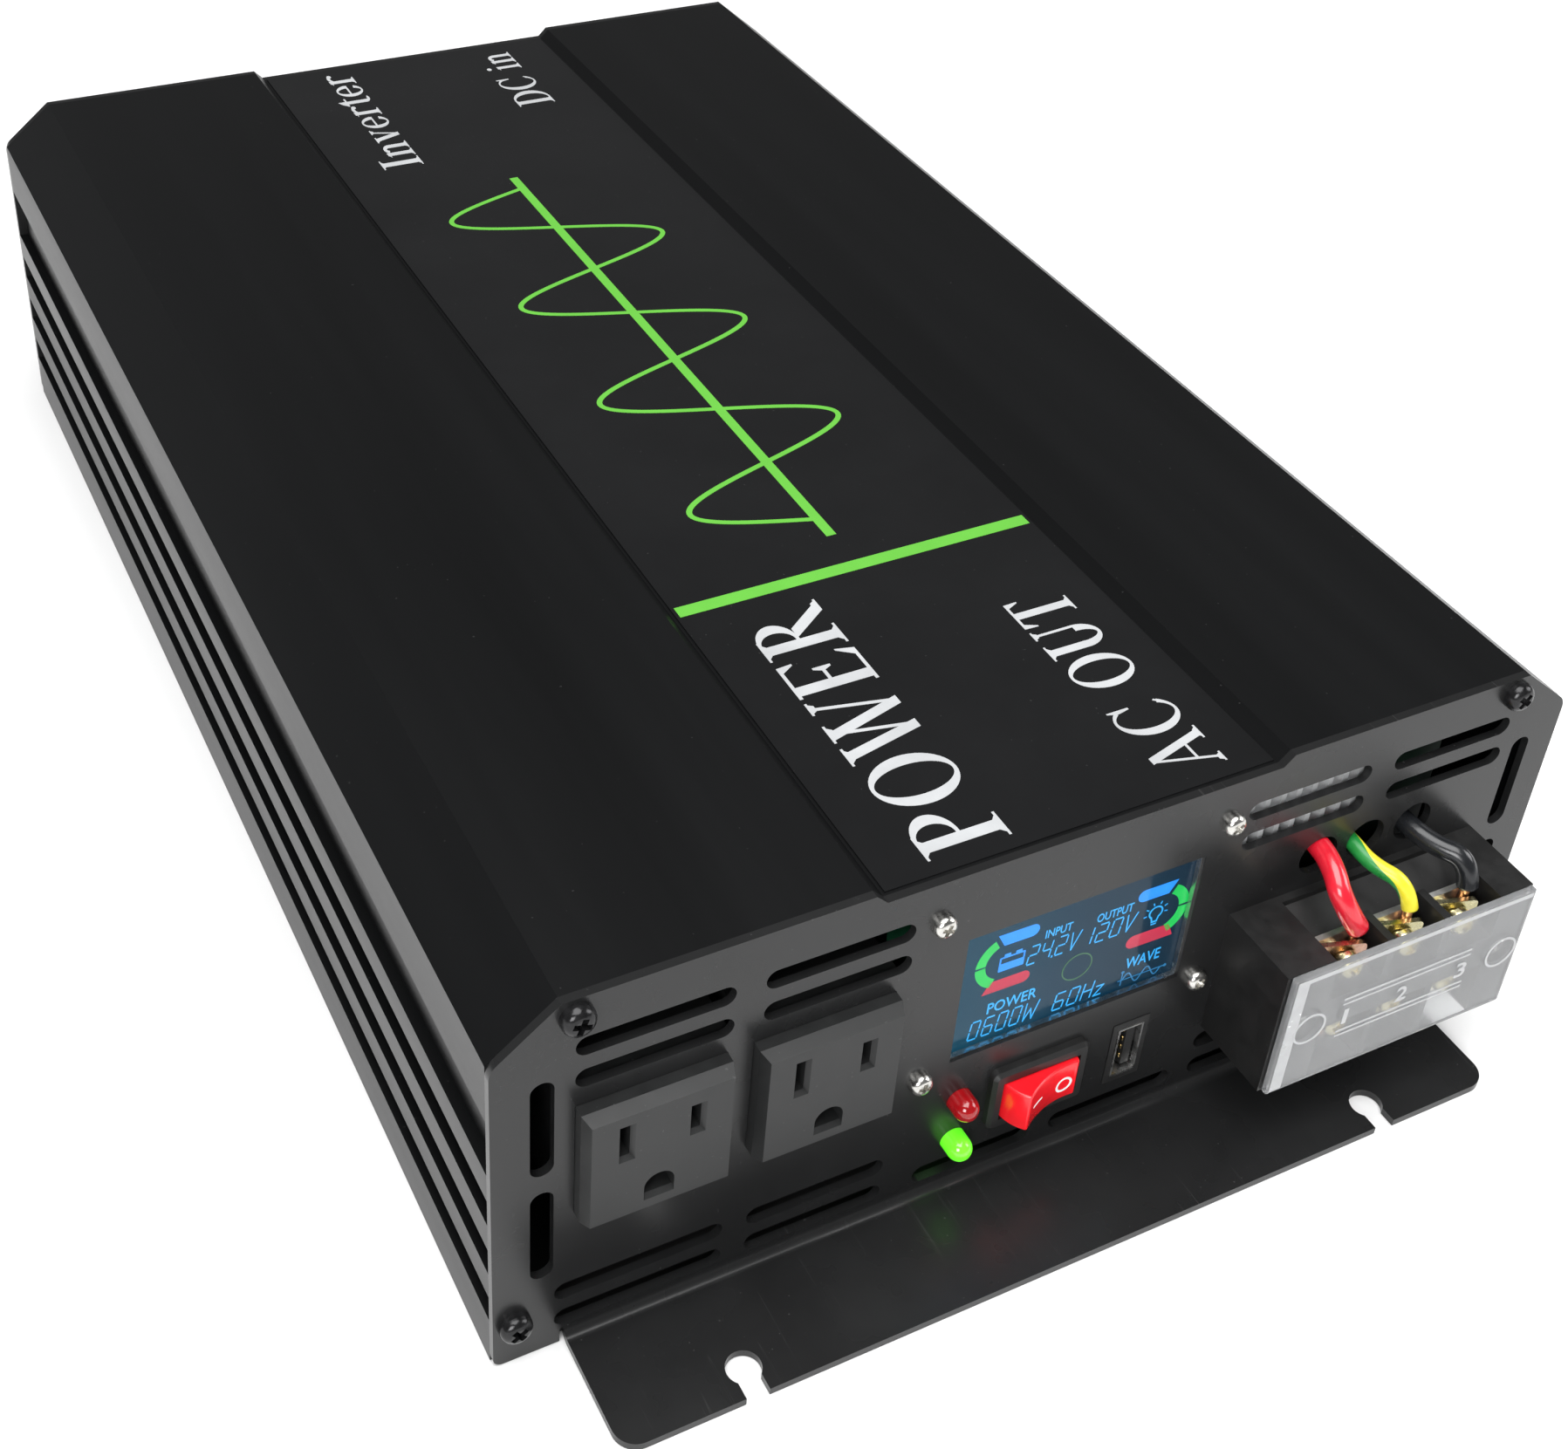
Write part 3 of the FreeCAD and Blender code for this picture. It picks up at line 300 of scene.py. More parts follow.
def clamp_mat():
    """Yellow zinc plate, with the first pole's clamp in a pinker copper plate."""
    t = Tree("clamp_plated")
    o = N["terminal_clamps"]
    cut = (o.matrix_world.inverted() @ F(170.2, 0, 0)).x
    tc = t.n("ShaderNodeTexCoord")
    sep = t.n("ShaderNodeSeparateXYZ")
    t.link(tc, "Object", sep, "Vector")
    side = t.maprange(sep, "X", cut - 0.0001, cut + 0.0001, 0.0, 1.0)
    nz = t.noise(420, 4.0, 0.6)
    pink = t.ramp(nz, "Fac", [(0.3, (0.72, 0.42, 0.30)), (0.7, (0.90, 0.60, 0.46))])
    zinc = t.ramp(nz, "Fac", [(0.3, (0.74, 0.66, 0.36)), (0.7, (0.94, 0.88, 0.58))])
    m = t.mix(side, "Result", (pink, "Color"), (zinc, "Color"))
    t.t.links.new(m.outputs[2], t.b.inputs["Base Color"])
    rr = t.maprange(nz, "Fac", 0.25, 0.75, 0.18, 0.34)
    t.link(rr, "Result", t.b, "Roughness")
    t.b.inputs["Metallic"].default_value = 1.0
    bm = t.bump(t.noise(3200, 2.0), "Fac", 0.2, 3e-5)
    t.link(bm, "Normal", t.b, "Normal")
    return t.m


M["clamp"] = clamp_mat()
paint(N["terminal_clamps"], M["clamp"])


# ------------------------------------------------------------------ mesh helpers
def add(name, verts, faces, m, body, smooth=False):
    me = bpy.data.meshes.new(name)
    me.from_pydata([tuple(v) for v in verts], [], faces)
    me.validate()
    me.update()
    o = bpy.data.objects.new(name, me)
    scene.collection.objects.link(o)
    if isinstance(m, (list, tuple)):
        for x in m:
            me.materials.append(x)
    else:
        me.materials.append(m)
    if smooth:
        for p in me.polygons:
            p.use_smooth = True
    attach(o, body)
    return o


def area2(p):
    return sum(p[i][0] * p[(i + 1) % len(p)][1] - p[(i + 1) % len(p)][0] * p[i][1] for i in range(len(p))) / 2


def region(polys):
    """Union of overlapping closed outlines as one clean triangulated flat region."""
    vs, fs = [], []
    for p in polys:
        if abs(area2(p)) < 1e-9:
            continue
        q = list(p) if area2(p) > 0 else list(reversed(p))
        a = len(vs)
        vs += [Vector(v) for v in q]
        fs.append(list(range(a, a + len(q))))
    r = delaunay_2d_cdt(vs, [], fs, 1, 1e-5)
    faces = [list(f) for f, src in zip(r[2], r[5]) if src]
    used = sorted({i for f in faces for i in f})
    m = {k: i for i, k in enumerate(used)}
    return [(r[0][k][0], r[0][k][1]) for k in used], [[m[i] for i in f] for f in faces]


def slab(name, flat, place, low, high, m, body):
    """Closed thin solid over a flat region; place(u, v, h) gives the point at height h."""
    v2, tris = flat
    n = len(v2)
    verts = [place(u, v, high) for u, v in v2] + [place(u, v, low) for u, v in v2]
    faces = [list(f) for f in tris]
    faces += [[i + n for i in reversed(f)] for f in tris]
    count = {}
    for f in tris:
        for i in range(len(f)):
            e = (f[i], f[(i + 1) % len(f)])
            count[e] = True
    for a, b in count:
        if (b, a) not in count:
            faces.append([b, a, a + n, b + n])
    return add(name, verts, faces, m, body)


def rect(x0, x1, y0, y1):
    return [(x0, y0), (x1, y0), (x1, y1), (x0, y1)]


def disc(cx, cy, r, n=40, a0=0.0, a1=360.0):
    k = n if abs(a1 - a0) >= 360 else n + 1
    return [(cx + r * math.cos(math.radians(a0 + (a1 - a0) * i / n)), cy + r * math.sin(math.radians(a0 + (a1 - a0) * i / n)))
            for i in range(k)]


def arc_band(cx, cy, r0, r1, a0, a1, n=40):
    out = []
    for i in range(n):
        s, e = (math.radians(a0 + (a1 - a0) * (i + k) / n) for k in (0, 1))
        out.append([(cx + r0 * math.cos(s), cy + r0 * math.sin(s)), (cx + r1 * math.cos(s), cy + r1 * math.sin(s)),
                    (cx + r1 * math.cos(e), cy + r1 * math.sin(e)), (cx + r0 * math.cos(e), cy + r0 * math.sin(e))])
    return out


def stroke(pts, w):
    """Polyline drawn with round-ish joints, as overlapping outlines."""
    out = []
    for (x0, y0), (x1, y1) in zip(pts, pts[1:]):
        l = math.hypot(x1 - x0, y1 - y0)
        if l < 1e-6:
            continue
        nx, ny = -(y1 - y0) / l * w / 2, (x1 - x0) / l * w / 2
        out.append([(x0 - nx, y0 - ny), (x1 - nx, y1 - ny), (x1 + nx, y1 + ny), (x0 + nx, y0 + ny)])
    for p in pts[1:-1]:
        out.append(disc(p[0], p[1], w / 2, 10))
    return out


def sans(text, x0, x1, y0, y1, bold=0.0):
    """Plain block lettering from Blender's built-in face, fitted to a box; returns a flat region."""
    c = bpy.data.curves.new("lettering", "FONT")
    c.body = text
    c.size = 10.0
    c.resolution_u = 3
    c.offset = bold
    o = bpy.data.objects.new("lettering", c)
    scene.collection.objects.link(o)
    bpy.context.view_layer.update()
    me = bpy.data.meshes.new_from_object(o.evaluated_get(bpy.context.evaluated_depsgraph_get()))
    vs = [(v.co.x, v.co.y) for v in me.vertices]
    fs = [list(p.vertices) for p in me.polygons]
    bpy.data.objects.remove(o)
    bpy.data.curves.remove(c)
    bpy.data.meshes.remove(me)
    ax, bx = min(v[0] for v in vs), max(v[0] for v in vs)
    ay, by = min(v[1] for v in vs), max(v[1] for v in vs)
    vs = [(x0 + (v[0] - ax) / (bx - ax) * (x1 - x0), y0 + (v[1] - ay) / (by - ay) * (y1 - y0)) for v in vs]
    return region([[vs[i] for i in f] for f in fs])


# ------------------------------------------------------------------ serif lettering, drawn from strokes
def ell(cx, cy, rx, ry, ix, iy, a0=0, a1=360, n=30, sh=0.0):
    """Band between an outer ellipse (rx, ry) and an inner one (ix, iy), for round letter parts."""
    out = []
    for i in range(n):
        s, e = (math.radians(a0 + (a1 - a0) * (i + k) / n) for k in (0, 1))
        out.append([(cx + sh + ix * math.cos(s), cy + iy * math.sin(s)), (cx + rx * math.cos(s), cy + ry * math.sin(s)),
                    (cx + rx * math.cos(e), cy + ry * math.sin(e)), (cx + sh + ix * math.cos(e), cy + iy * math.sin(e))])
    return out


def foot(cx, y, w, up=True, t=0.03):
    """Serif: a thin bar with small bracket curves into the stem."""
    s = 1 if up else -1
    b = [rect(cx - w / 2, cx + w / 2, min(y, y + s * t), max(y, y + s * t))]
    k = 0.055
    b.append([(cx - w * 0.36, y + s * t), (cx + w * 0.36, y + s * t), (cx + w * 0.20, y + s * (t + k)), (cx - w * 0.20, y + s * (t + k))])
    return b


TH, TN = 0.145, 0.05      # thick and thin strokes of the capitals


def stem(x, y0, y1, w=TH, f0=True, f1=True, fw=None):
    out = [rect(x - w / 2, x + w / 2, y0, y1)]
    fw = fw or w + 0.20
    if f0:
        out += foot(x, y0, fw, True)
    if f1:
        out += foot(x, y1, fw, False)
    return out


def diag(xa, ya, xb, yb, w):
    return [[(xa - w / 2, ya), (xa + w / 2, ya), (xb + w / 2, yb), (xb - w / 2, yb)]]


def glyph(ch):
    """(outlines, advance) on a capital height of 1."""
    x = 0.66          # height of the small letters
    t, n = 0.115, 0.042
    if ch == " ":
        return [], 0.34
    if ch == "P":
        return stem(0.17, 0, 1) + ell(0.26, 0.735, 0.32, 0.265, 0.18, 0.222, -90, 90, sh=0.0) + \
            [rect(0.17, 0.27, 0.957, 1.0), rect(0.17, 0.27, 0.470, 0.513)], 0.66
    if ch == "R":
        g = stem(0.17, 0, 1) + ell(0.26, 0.745, 0.31, 0.255, 0.17, 0.212, -90, 90) + [rect(0.17, 0.27, 0.957, 1.0), rect(0.17, 0.30, 0.490, 0.533)]
        g += [[(0.27, 0.50), (0.43, 0.50), (0.74, 0.04), (0.74, 0.0), (0.60, 0.0)]] + foot(0.70, 0, 0.20)
        return g, 0.80
    if ch == "O":
        return ell(0.39, 0.5, 0.37, 0.515, 0.225, 0.47, n=44), 0.80
    if ch == "C":
        g = ell(0.40, 0.5, 0.37, 0.515, 0.25, 0.47, 48, 318, n=36, sh=0.02)
        g += [[(0.64, 0.64), (0.675, 0.64), (0.675, 1.0), (0.65, 1.0), (0.60, 0.84)]]
        g += [[(0.645, 0.14), (0.69, 0.19), (0.67, 0.22), (0.62, 0.16)]]
        return g, 0.76
    if ch == "D":
        return stem(0.17, 0, 1) + ell(0.30, 0.5, 0.44, 0.5, 0.285, 0.457, -90, 90, n=36) + \
            [rect(0.17, 0.31, 0.957, 1.0), rect(0.17, 0.31, 0.0, 0.043)], 0.80
    if ch == "E":
        g = stem(0.17, 0, 1, f0=False, f1=False)
        g += [rect(0.05, 0.60, 0.957, 1.0), rect(0.05, 0.60, 0.0, 0.043), rect(0.17, 0.46, 0.49, 0.533)]
        g += [[(0.60, 1.0), (0.615, 0.80), (0.59, 0.80), (0.50, 0.957), (0.50, 1.0)], [(0.60, 0.0), (0.655, 0.23), (0.63, 0.23), (0.50, 0.043), (0.50, 0.0)]]
        g += [[(0.43, 0.40), (0.46, 0.40), (0.46, 0.625), (0.43, 0.625), (0.39, 0.533), (0.39, 0.49)]]
        return g, 0.70
    if ch == "W":
        g = diag(0.315, 0, 0.115, 1, 0.13) + diag(0.315, 0, 0.47, 0.80, 0.045) + diag(0.72, 0, 0.46, 1, 0.13) + diag(0.72, 0, 0.93, 1, 0.045)
        g += foot(0.12, 1, 0.28, False) + foot(0.50, 1, 0.28, False) + foot(0.93, 1, 0.20, False)
        return g, 1.04
    if ch == "V":
        return diag(0.38, 0, 0.14, 1, 0.135) + diag(0.385, 0, 0.62, 1, 0.045) + foot(0.14, 1, 0.28, False) + foot(0.62, 1, 0.20, False), 0.74
    if ch == "A":
        g = diag(0.08, 0, 0.355, 1, 0.045) + diag(0.64, 0, 0.37, 1, 0.135) + [rect(0.17, 0.56, 0.33, 0.372)]
        return g + foot(0.08, 0, 0.20) + foot(0.64, 0, 0.28), 0.78
    if ch == "U":
        g = stem(0.18, 0.33, 1, f0=False) + stem(0.62, 0.33, 1, w=0.048, f0=False, fw=0.20)
        g += ell(0.3755, 0.33, 0.268, 0.345, 0.125, 0.292, 180, 360, n=28) + ell(0.3755, 0.33, 0.268, 0.345, 0.222, 0.292, 270, 360, n=16)
        return g, 0.78
    if ch == "T":
        g = stem(0.34, 0, 1, f1=False) + [rect(0.03, 0.65, 0.957, 1.0)]
        g += [[(0.03, 1.0), (0.02, 0.77), (0.045, 0.77), (0.13, 0.957), (0.13, 1.0)], [(0.65, 1.0), (0.66, 0.77), (0.635, 0.77), (0.55, 0.957), (0.55, 1.0)]]
        return g, 0.72
    if ch == "I":
        return stem(0.18, 0, 1), 0.38
    if ch == "S":
        pts = []
        for i in range(41):
            s = i / 40
            a = math.radians(20 + 250 * min(1, s * 2)) if s < 0.5 else None
            if s <= 0.5:
                a = math.radians(25 + 245 * s * 2)
                pts.append((0.29 + 0.185 * math.cos(a), 0.745 + 0.225 * math.sin(a), s))
            else:
                a = math.radians(90 - 245 * (s - 0.5) * 2)
                pts.append((0.29 + 0.20 * math.cos(a), 0.265 + 0.24 * math.sin(a), s))
        g = []
        for (x0, y0, s0), (x1, y1, s1) in zip(pts, pts[1:]):
            w = 0.042 + 0.105 * math.exp(-((0.5 * (s0 + s1) - 0.5) / 0.20) ** 2)
            g += stroke([(x0, y0), (x1, y1)], w) + [disc(x1, y1, w / 2, 8)]
        g += [[(0.44, 0.70), (0.475, 0.70), (0.485, 1.0), (0.455, 1.0), (0.43, 0.86)], [(0.09, 0.30), (0.125, 0.30), (0.14, 0.14), (0.10, 0.0), (0.07, 0.0)]]
        return g, 0.60
    if ch == "o":
        return ell(0.28, x / 2, 0.26, x / 2 + 0.012, 0.145, x / 2 - 0.03, n=36), 0.58
    if ch == "e":
        g = ell(0.27, x / 2, 0.245, x / 2 + 0.012, 0.135, x / 2 - 0.03, 8, 330, n=34) + [rect(0.12, 0.505, x * 0.50, x * 0.50 + 0.045)]
        return g, 0.54
    if ch == "w":
        g = diag(0.24, 0, 0.10, x, 0.11) + diag(0.24, 0, 0.345, x * 0.9, n) + diag(0.525, 0, 0.365, x, 0.11) + diag(0.525, 0, 0.67, x, n)
        return g + foot(0.10, x, 0.22, False) + foot(0.38, x, 0.22, False) + foot(0.67, x, 0.17, False), 0.78
    if ch == "v":
        return diag(0.28, 0, 0.12, x, 0.115) + diag(0.285, 0, 0.45, x, n) + foot(0.12, x, 0.22, False) + foot(0.45, x, 0.17, False), 0.56
    if ch == "r":
        g = stem(0.15, 0, x, t, True, False, 0.28) + [[(0.02, x - 0.06), (0.15, x), (0.21, x + 0.01), (0.21, x - 0.06)]]
        g += ell(0.32, x - 0.17, 0.165, 0.17, 0.125, 0.09, 45, 150, n=16) + [disc(0.415, x - 0.085, 0.058, 16)]
        return g, 0.46
    if ch in "nu":
        g = stem(0.15, 0, x, t, True, False, 0.27) + [[(0.02, x - 0.06), (0.15, x), (0.21, x + 0.01), (0.21, x - 0.06)]]
        g += stem(0.46, 0, x - 0.15, t, True, False, 0.27)
        g += ell(0.345, x - 0.17, 0.172, 0.175, 0.06, 0.095, 0, 150, n=20)
        if ch == "u":
            g = [[(0.61 - px, x - py) for px, py in p] for p in g]
        return g, 0.62
    if ch == "i":
        return stem(0.16, 0, x, t, True, False, 0.27) + [[(0.03, x - 0.06), (0.16, x), (0.217, x + 0.01), (0.217, x - 0.06)], disc(0.155, 0.90, 0.065, 18)], 0.33
    if ch == "t":
        g = [rect(0.11, 0.11 + t, 0.10, x + 0.06), rect(0.02, 0.35, x - 0.045, x)] + [[(0.02, x - 0.02), (0.11, x + 0.10), (0.11 + t, x + 0.18), (0.11 + t, x - 0.02)]]
        g += ell(0.265, 0.12, 0.155, 0.13, 0.04, 0.078, 180, 310, n=14)
        return g, 0.37
    if ch == "a":
        g = [rect(0.325, 0.325 + t, 0.07, x - 0.17)] + ell(0.255, x - 0.19, 0.185, 0.20, 0.072, 0.155, 0, 155, n=20) + [disc(0.12, x - 0.17, 0.055, 14)]
        g += ell(0.21, 0.17, 0.17, 0.18, 0.055, 0.13, 75, 330, n=24) + [[(0.20, 0.30), (0.20, 0.355), (0.34, 0.42), (0.34, 0.37)]]
        g += ell(0.455, 0.075, 0.13, 0.085, 0.02, 0.035, 180, 320, n=10)
        return g, 0.54
    return [rect(0.1, 0.4, 0, 0.6)], 0.5


def serif(text, x0, x1, y0, y1, gap=0.02):
    out, pen = [], 0.0
    for ch in text:
        g, adv = glyph(ch)
        out += [[(px + pen, py) for px, py in p] for p in g]
        pen += adv + gap
    xs = [px for p in out for px, _ in p]
    ax, bx = min(xs), max(xs)
    k = (x1 - x0) / (bx - ax)
    return region([[(x0 + (px - ax) * k, y0 + py * (y1 - y0)) for px, py in p] for p in out])


# ------------------------------------------------------------------ label print on the top film
LABEL_TOP = 83.6


def lab(X, Y):
    return -80.3 + (X + 80.3) * 1.0074, -209.5 + (Y + 209.5) * 1.0074


def on_label(u, v, h):
    return F(u, v, LABEL_TOP + h)


def wave():
    """Plain sine curve of even width along the film."""
    out, pts = [], []
    y0, per, n = 98.0, 44.0, 240
    for i in range(n + 1):
        y = y0 + 3.5 * per * i / n
        a = 2 * math.pi * (y - y0) / per
        px = 110.0 - 23.0 * math.sin(a)
        tx, ty = -23.0 * math.cos(a) * 2 * math.pi / per, 1.0
        l = math.hypot(tx, ty)
        pts.append(((px - ty / l * 0.6, y + tx / l * 0.6), (px + ty / l * 0.6, y - tx / l * 0.6)))
    for (a, b), (c, d) in zip(pts, pts[1:]):
        out.append([a, b, d, c])
    return out


# printed decoration: a sine curve on its straight axis, and one straight rule across the film
green = [rect(108.9, 111.1, 92.0, 258.0), rect(70.8, 149.2, 80.0, 83.0)]
slab("label_print_wave", region(green + wave()), on_label, -0.05, 0.06, M["label_green"], "chassis")


def label_words(name, text, X0, X1, Y0, Y1):
    """Letters run back along the case with their tops to the left."""
    (xa, ya), (xb, yb) = lab(X0, Y0), lab(X1, Y1)
    v2, f = serif(text, ya, yb, 0.0, xb - xa)
    slab(name, ([(xb - v, u) for u, v in v2], f), on_label, -0.05, 0.06, M["label_white"], "chassis")


label_words("label_words_power", "POWER", 79.0, 95.4, 3.6, 73.0)
label_words("label_words_output", "AC OUT", 127.7, 140.6, 4.0, 57.0)
label_words("label_words_inverter", "Inverter", 80.3, 90.6, 270.0, 328.0)
label_words("label_words_input", "DC in", 126.0, 136.0, 292.0, 326.0)


# ------------------------------------------------------------------ display window
def emit(name, color, k, base=None):
    t = Tree(name)
    nz = t.noise(300, 2.0)
    lo, hi = tuple(c * 0.9 for c in color), tuple(min(1, c * 1.06) for c in color)
    r = t.ramp(nz, "Fac", [(0.3, lo), (0.7, hi)])
    t.link(r, "Color", t.b, "Emission Color")
    t.b.inputs["Emission Strength"].default_value = k
    t.b.inputs["Base Color"].default_value = (color[0] * 0.3, color[1] * 0.3, color[2] * 0.3, 1)
    t.b.inputs["Roughness"].default_value = 0.5
    return t.m


M["lcd_text"] = emit("lcd_segment_blue", srgb("#29a9f0"), 1.0)
M["lcd_faint"] = emit("lcd_segment_faint", srgb("#1f7db5"), 0.8)
M["lcd_bar_blue"] = emit("lcd_bar_blue", srgb("#1290ff"), 1.0)
M["lcd_green"] = emit("lcd_arc_green", srgb("#08c452"), 0.95)
M["lcd_red"] = emit("lcd_bar_red", srgb("#c01f42"), 0.95)
M["lcd_ring"] = emit("lcd_ring", srgb("#3d7a4c"), 0.6)


def lcd_back():
    t = Tree("lcd_backlight")
    # backlight: brighter towards the left, darker towards the right, with a faint pixel grain
    tc = t.n("ShaderNodeTexCoord")
    sep = t.n("ShaderNodeSeparateXYZ")
    t.link(tc, "Object", sep, "Vector")
    g = t.maprange(sep, "X", F(86, 0, 0).x, F(138, 0, 0).x, 1.0, 0.0)
    r = t.ramp(g, "Result", [(0.0, srgb("#06283c")), (0.55, srgb("#0a3a52")), (1.0, srgb("#0e4c64"))])
    nz = t.noise(2600, 1.0)
    gr = t.ramp(nz, "Fac", [(0.3, (0.86, 0.86, 0.86)), (0.7, (1, 1, 1))])
    m = t.mix(None, 1.0, (r, "Color"), (gr, "Color"), "MULTIPLY")
    t.t.links.new(m.outputs[2], t.b.inputs["Emission Color"])
    t.b.inputs["Emission Strength"].default_value = 0.95
    t.b.inputs["Base Color"].default_value = (0.002, 0.006, 0.009, 1)
    t.b.inputs["Roughness"].default_value = 0.7
    t.b.inputs["Specular IOR Level"].default_value = 0.15
    return t.m


M["lcd_back"] = lcd_back()
M["lcd_frame"] = mat("lcd_frame_black", (0.008, 0.008, 0.009), rough=0.4, vscale=400)

# screen module: body with a raised frame round the lit area, standing for the CAD module
sx0, sx1, sz0, sz1 = 85.6, 138.2, 34.6, 68.4
ax0, ax1, az0, az1 = 86.4, 137.5, 35.3, 67.6


def screen_module():
    yb, yf, ys = 8.0, 1.88, 1.98
    o = rect(sx0, sx1, sz0, sz1)
    i = rect(ax0, ax1, az0, az1)
    v = [F(x, yb, z) for x, z in o] + [F(x, yf, z) for x, z in o] + [F(x, yf, z) for x, z in i] + [F(x, ys, z) for x, z in i]
    f = [[0, 1, 2, 3]]
    for k in range(4):
        j = (k + 1) % 4
        f.append([k, 4 + k, 4 + j, j])
        f.append([4 + k, 8 + k, 8 + j, 4 + j])
        f.append([8 + k, 12 + k, 12 + j, 8 + j])
    f.append([12, 15, 14, 13])
    ob = add("lcd_screen_module", v, f, [M["lcd_frame"], M["lcd_back"]], "chassis")
    ob.data.polygons[len(f) - 1].material_index = 1
    import bmesh
    bm = bmesh.new()
    bm.from_mesh(ob.data)
    bmesh.ops.recalc_face_normals(bm, faces=bm.faces)
    bm.to_mesh(ob.data)
    bm.free()
    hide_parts("lcd_glass")
    return ob


screen_module()


def lcd(u, v, h):
    """Display plane just in front of the lit face; the picture sits about a degree off level."""
    a = math.radians(-1.0)
    cx, cz = 112.0, 51.5
    return F(cx + (u - cx) * math.cos(a) - (v - cz) * math.sin(a), 1.97 - h, cz + (u - cx) * math.sin(a) + (v - cz) * math.cos(a))


def lcd_piece(name, flat, key, dx=0.0, dz=0.0):
    v2, f = flat
    slab(name, ([(u + dx, v + dz) for u, v in v2], f), lcd, 0.0, 0.06, M[key], "chassis")


SEG = {"a": ((0.06, 1.0), (0.54, 1.0)), "b": ((0.58, 0.95), (0.58, 0.54)), "c": ((0.58, 0.46), (0.58, 0.05)), "d": ((0.06, 0.0), (0.54, 0.0)),
       "e": ((0.02, 0.46), (0.02, 0.05)), "f": ((0.02, 0.95), (0.02, 0.54)), "g": ((0.07, 0.5), (0.53, 0.5))}
DIG = {"0": "abcdef", "1": "bc", "2": "abged", "3": "abgcd", "4": "fgbc", "5": "afgcd", "6": "afgedc", "7": "abc", "8": "abcdefg", "9": "abcdfg"}


def seven(text, x0, x1, z0, z1, w=0.072, slant=0.16):
    out, pen = [], 0.0
    for ch in text:
        if ch in DIG:
            g = []
            for s in DIG[ch]:
                g += stroke([SEG[s][0], SEG[s][1]], w)
            adv = 0.86
        elif ch == ".":
            g, adv = [rect(-0.12, -0.02, -0.04, 0.06)], 0.08
        elif ch == "V":
            g, adv = stroke([(0.0, 1.0), (0.22, 0.0), (0.60, 1.0)], w), 0.80
        elif ch == "W":
            g, adv = stroke([(0.0, 1.0), (0.06, 0.0), (0.36, 0.62), (0.58, 0.0), (0.80, 1.0)], w), 0.98
        elif ch == "H":
            g, adv = stroke([(0.0, 0.0), (0.0, 1.0)], w) + stroke([(0.56, 0.0), (0.56, 1.0)], w) + stroke([(0.0, 0.5), (0.56, 0.5)], w), 0.80
        elif ch == "z":
            g, adv = stroke([(0.0, 0.56), (0.45, 0.56), (0.0, 0.0), (0.45, 0.0)], w), 0.6
        else:
            g, adv = [], 0.5
        out += [[(px + pen + slant * py, py) for px, py in p] for p in g]
        pen += adv
    xs = [px for p in out for px, _ in p]
    zs = [pz for p in out for _, pz in p]
    ax, bx, az, bz = min(xs), max(xs), min(zs), max(zs)
    return region([[(x0 + (px - ax) / (bx - ax) * (x1 - x0), z0 + (pz - az) / (bz - az) * (z1 - z0)) for px, pz in p] for p in out])


def pill(x0, x1, z0, z1, cut=None, left_round=False):
    r = (z1 - z0) / 2
    zc = (z0 + z1) / 2
    out = [rect(x0 + (r if left_round else 0), x1 - r, z0, z1), disc(x1 - r, zc, r, 24)]
    if left_round:
        out.append(disc(x0 + r, zc, r, 24))
    if cut:
        out[0] = [(x0 + cut, z0), (x1 - r, z0), (x1 - r, z1), (x0, z1)]
    return out


lcd_piece("lcd_digits_input", seven("24.2V", 102.0, 113.5, 52.1, 56.9), "lcd_text")
lcd_piece("lcd_digits_output", seven("120V", 115.6, 125.8, 51.8, 56.4), "lcd_text")
lcd_piece("lcd_digits_power", seven("0600W", 91.9, 107.1, 37.0, 41.8), "lcd_text")
lcd_piece("lcd_digits_frequency", seven("60Hz", 110.1, 121.5, 36.9, 41.4), "lcd_text")
lcd_piece("lcd_word_input", sans("INPUT", 105.2, 110.9, 57.7, 59.7, 0.06), "lcd_text")
lcd_piece("lcd_word_output", sans("OUTPUT", 116.3, 124.2, 57.1, 59.2, 0.06), "lcd_text")
lcd_piece("lcd_word_power", sans("POWER", 95.3, 105.8, 42.7, 45.4, 0.06), "lcd_text")
lcd_piece("lcd_word_wave", sans("WAVE", 125.6, 133.3, 41.4, 44.2, 0.06), "lcd_text")
lcd_piece("lcd_bar_input_top", region(pill(94.8, 103.5, 59.6, 62.5, cut=1.6)), "lcd_bar_blue")
lcd_piece("lcd_bar_output_top", region([[(124.9 + 133.5 - px, pz) for px, pz in p] for p in pill(124.9, 133.5, 58.5, 61.4, cut=1.6)]), "lcd_bar_blue")
lcd_piece("lcd_bar_input_low", region(pill(94.8, 103.3, 48.2, 51.0, cut=-1.4) + []), "lcd_red")
lcd_piece("lcd_bar_output_low", region([[(124.5 + 133.7 - px, pz) for px, pz in p] for p in pill(124.5, 133.7, 46.8, 50.0, cut=-1.4)]), "lcd_red")
lcd_piece("lcd_arc_input", region(arc_band(97.5, 55.6, 4.4, 6.5, 118, 178) + arc_band(97.5, 55.6, 4.4, 6.5, 183, 244)), "lcd_green")
lcd_piece("lcd_arc_output", region(arc_band(130.6, 54.1, 4.4, 6.6, -64, -3) + arc_band(130.6, 54.1, 4.4, 6.6, 3, 62)), "lcd_green")
# battery symbol
batt = stroke([(96.2, 53.2), (101.2, 53.2), (101.2, 56.4), (96.2, 56.4), (96.2, 53.2), (101.2, 53.2)], 0.32)
batt += [rect(96.9, 98.2, 56.4, 57.2), rect(99.3, 100.6, 56.4, 57.2), rect(96.2, 101.2, 53.2, 54.9)]
lcd_piece("lcd_battery", region(batt), "lcd_bar_blue")
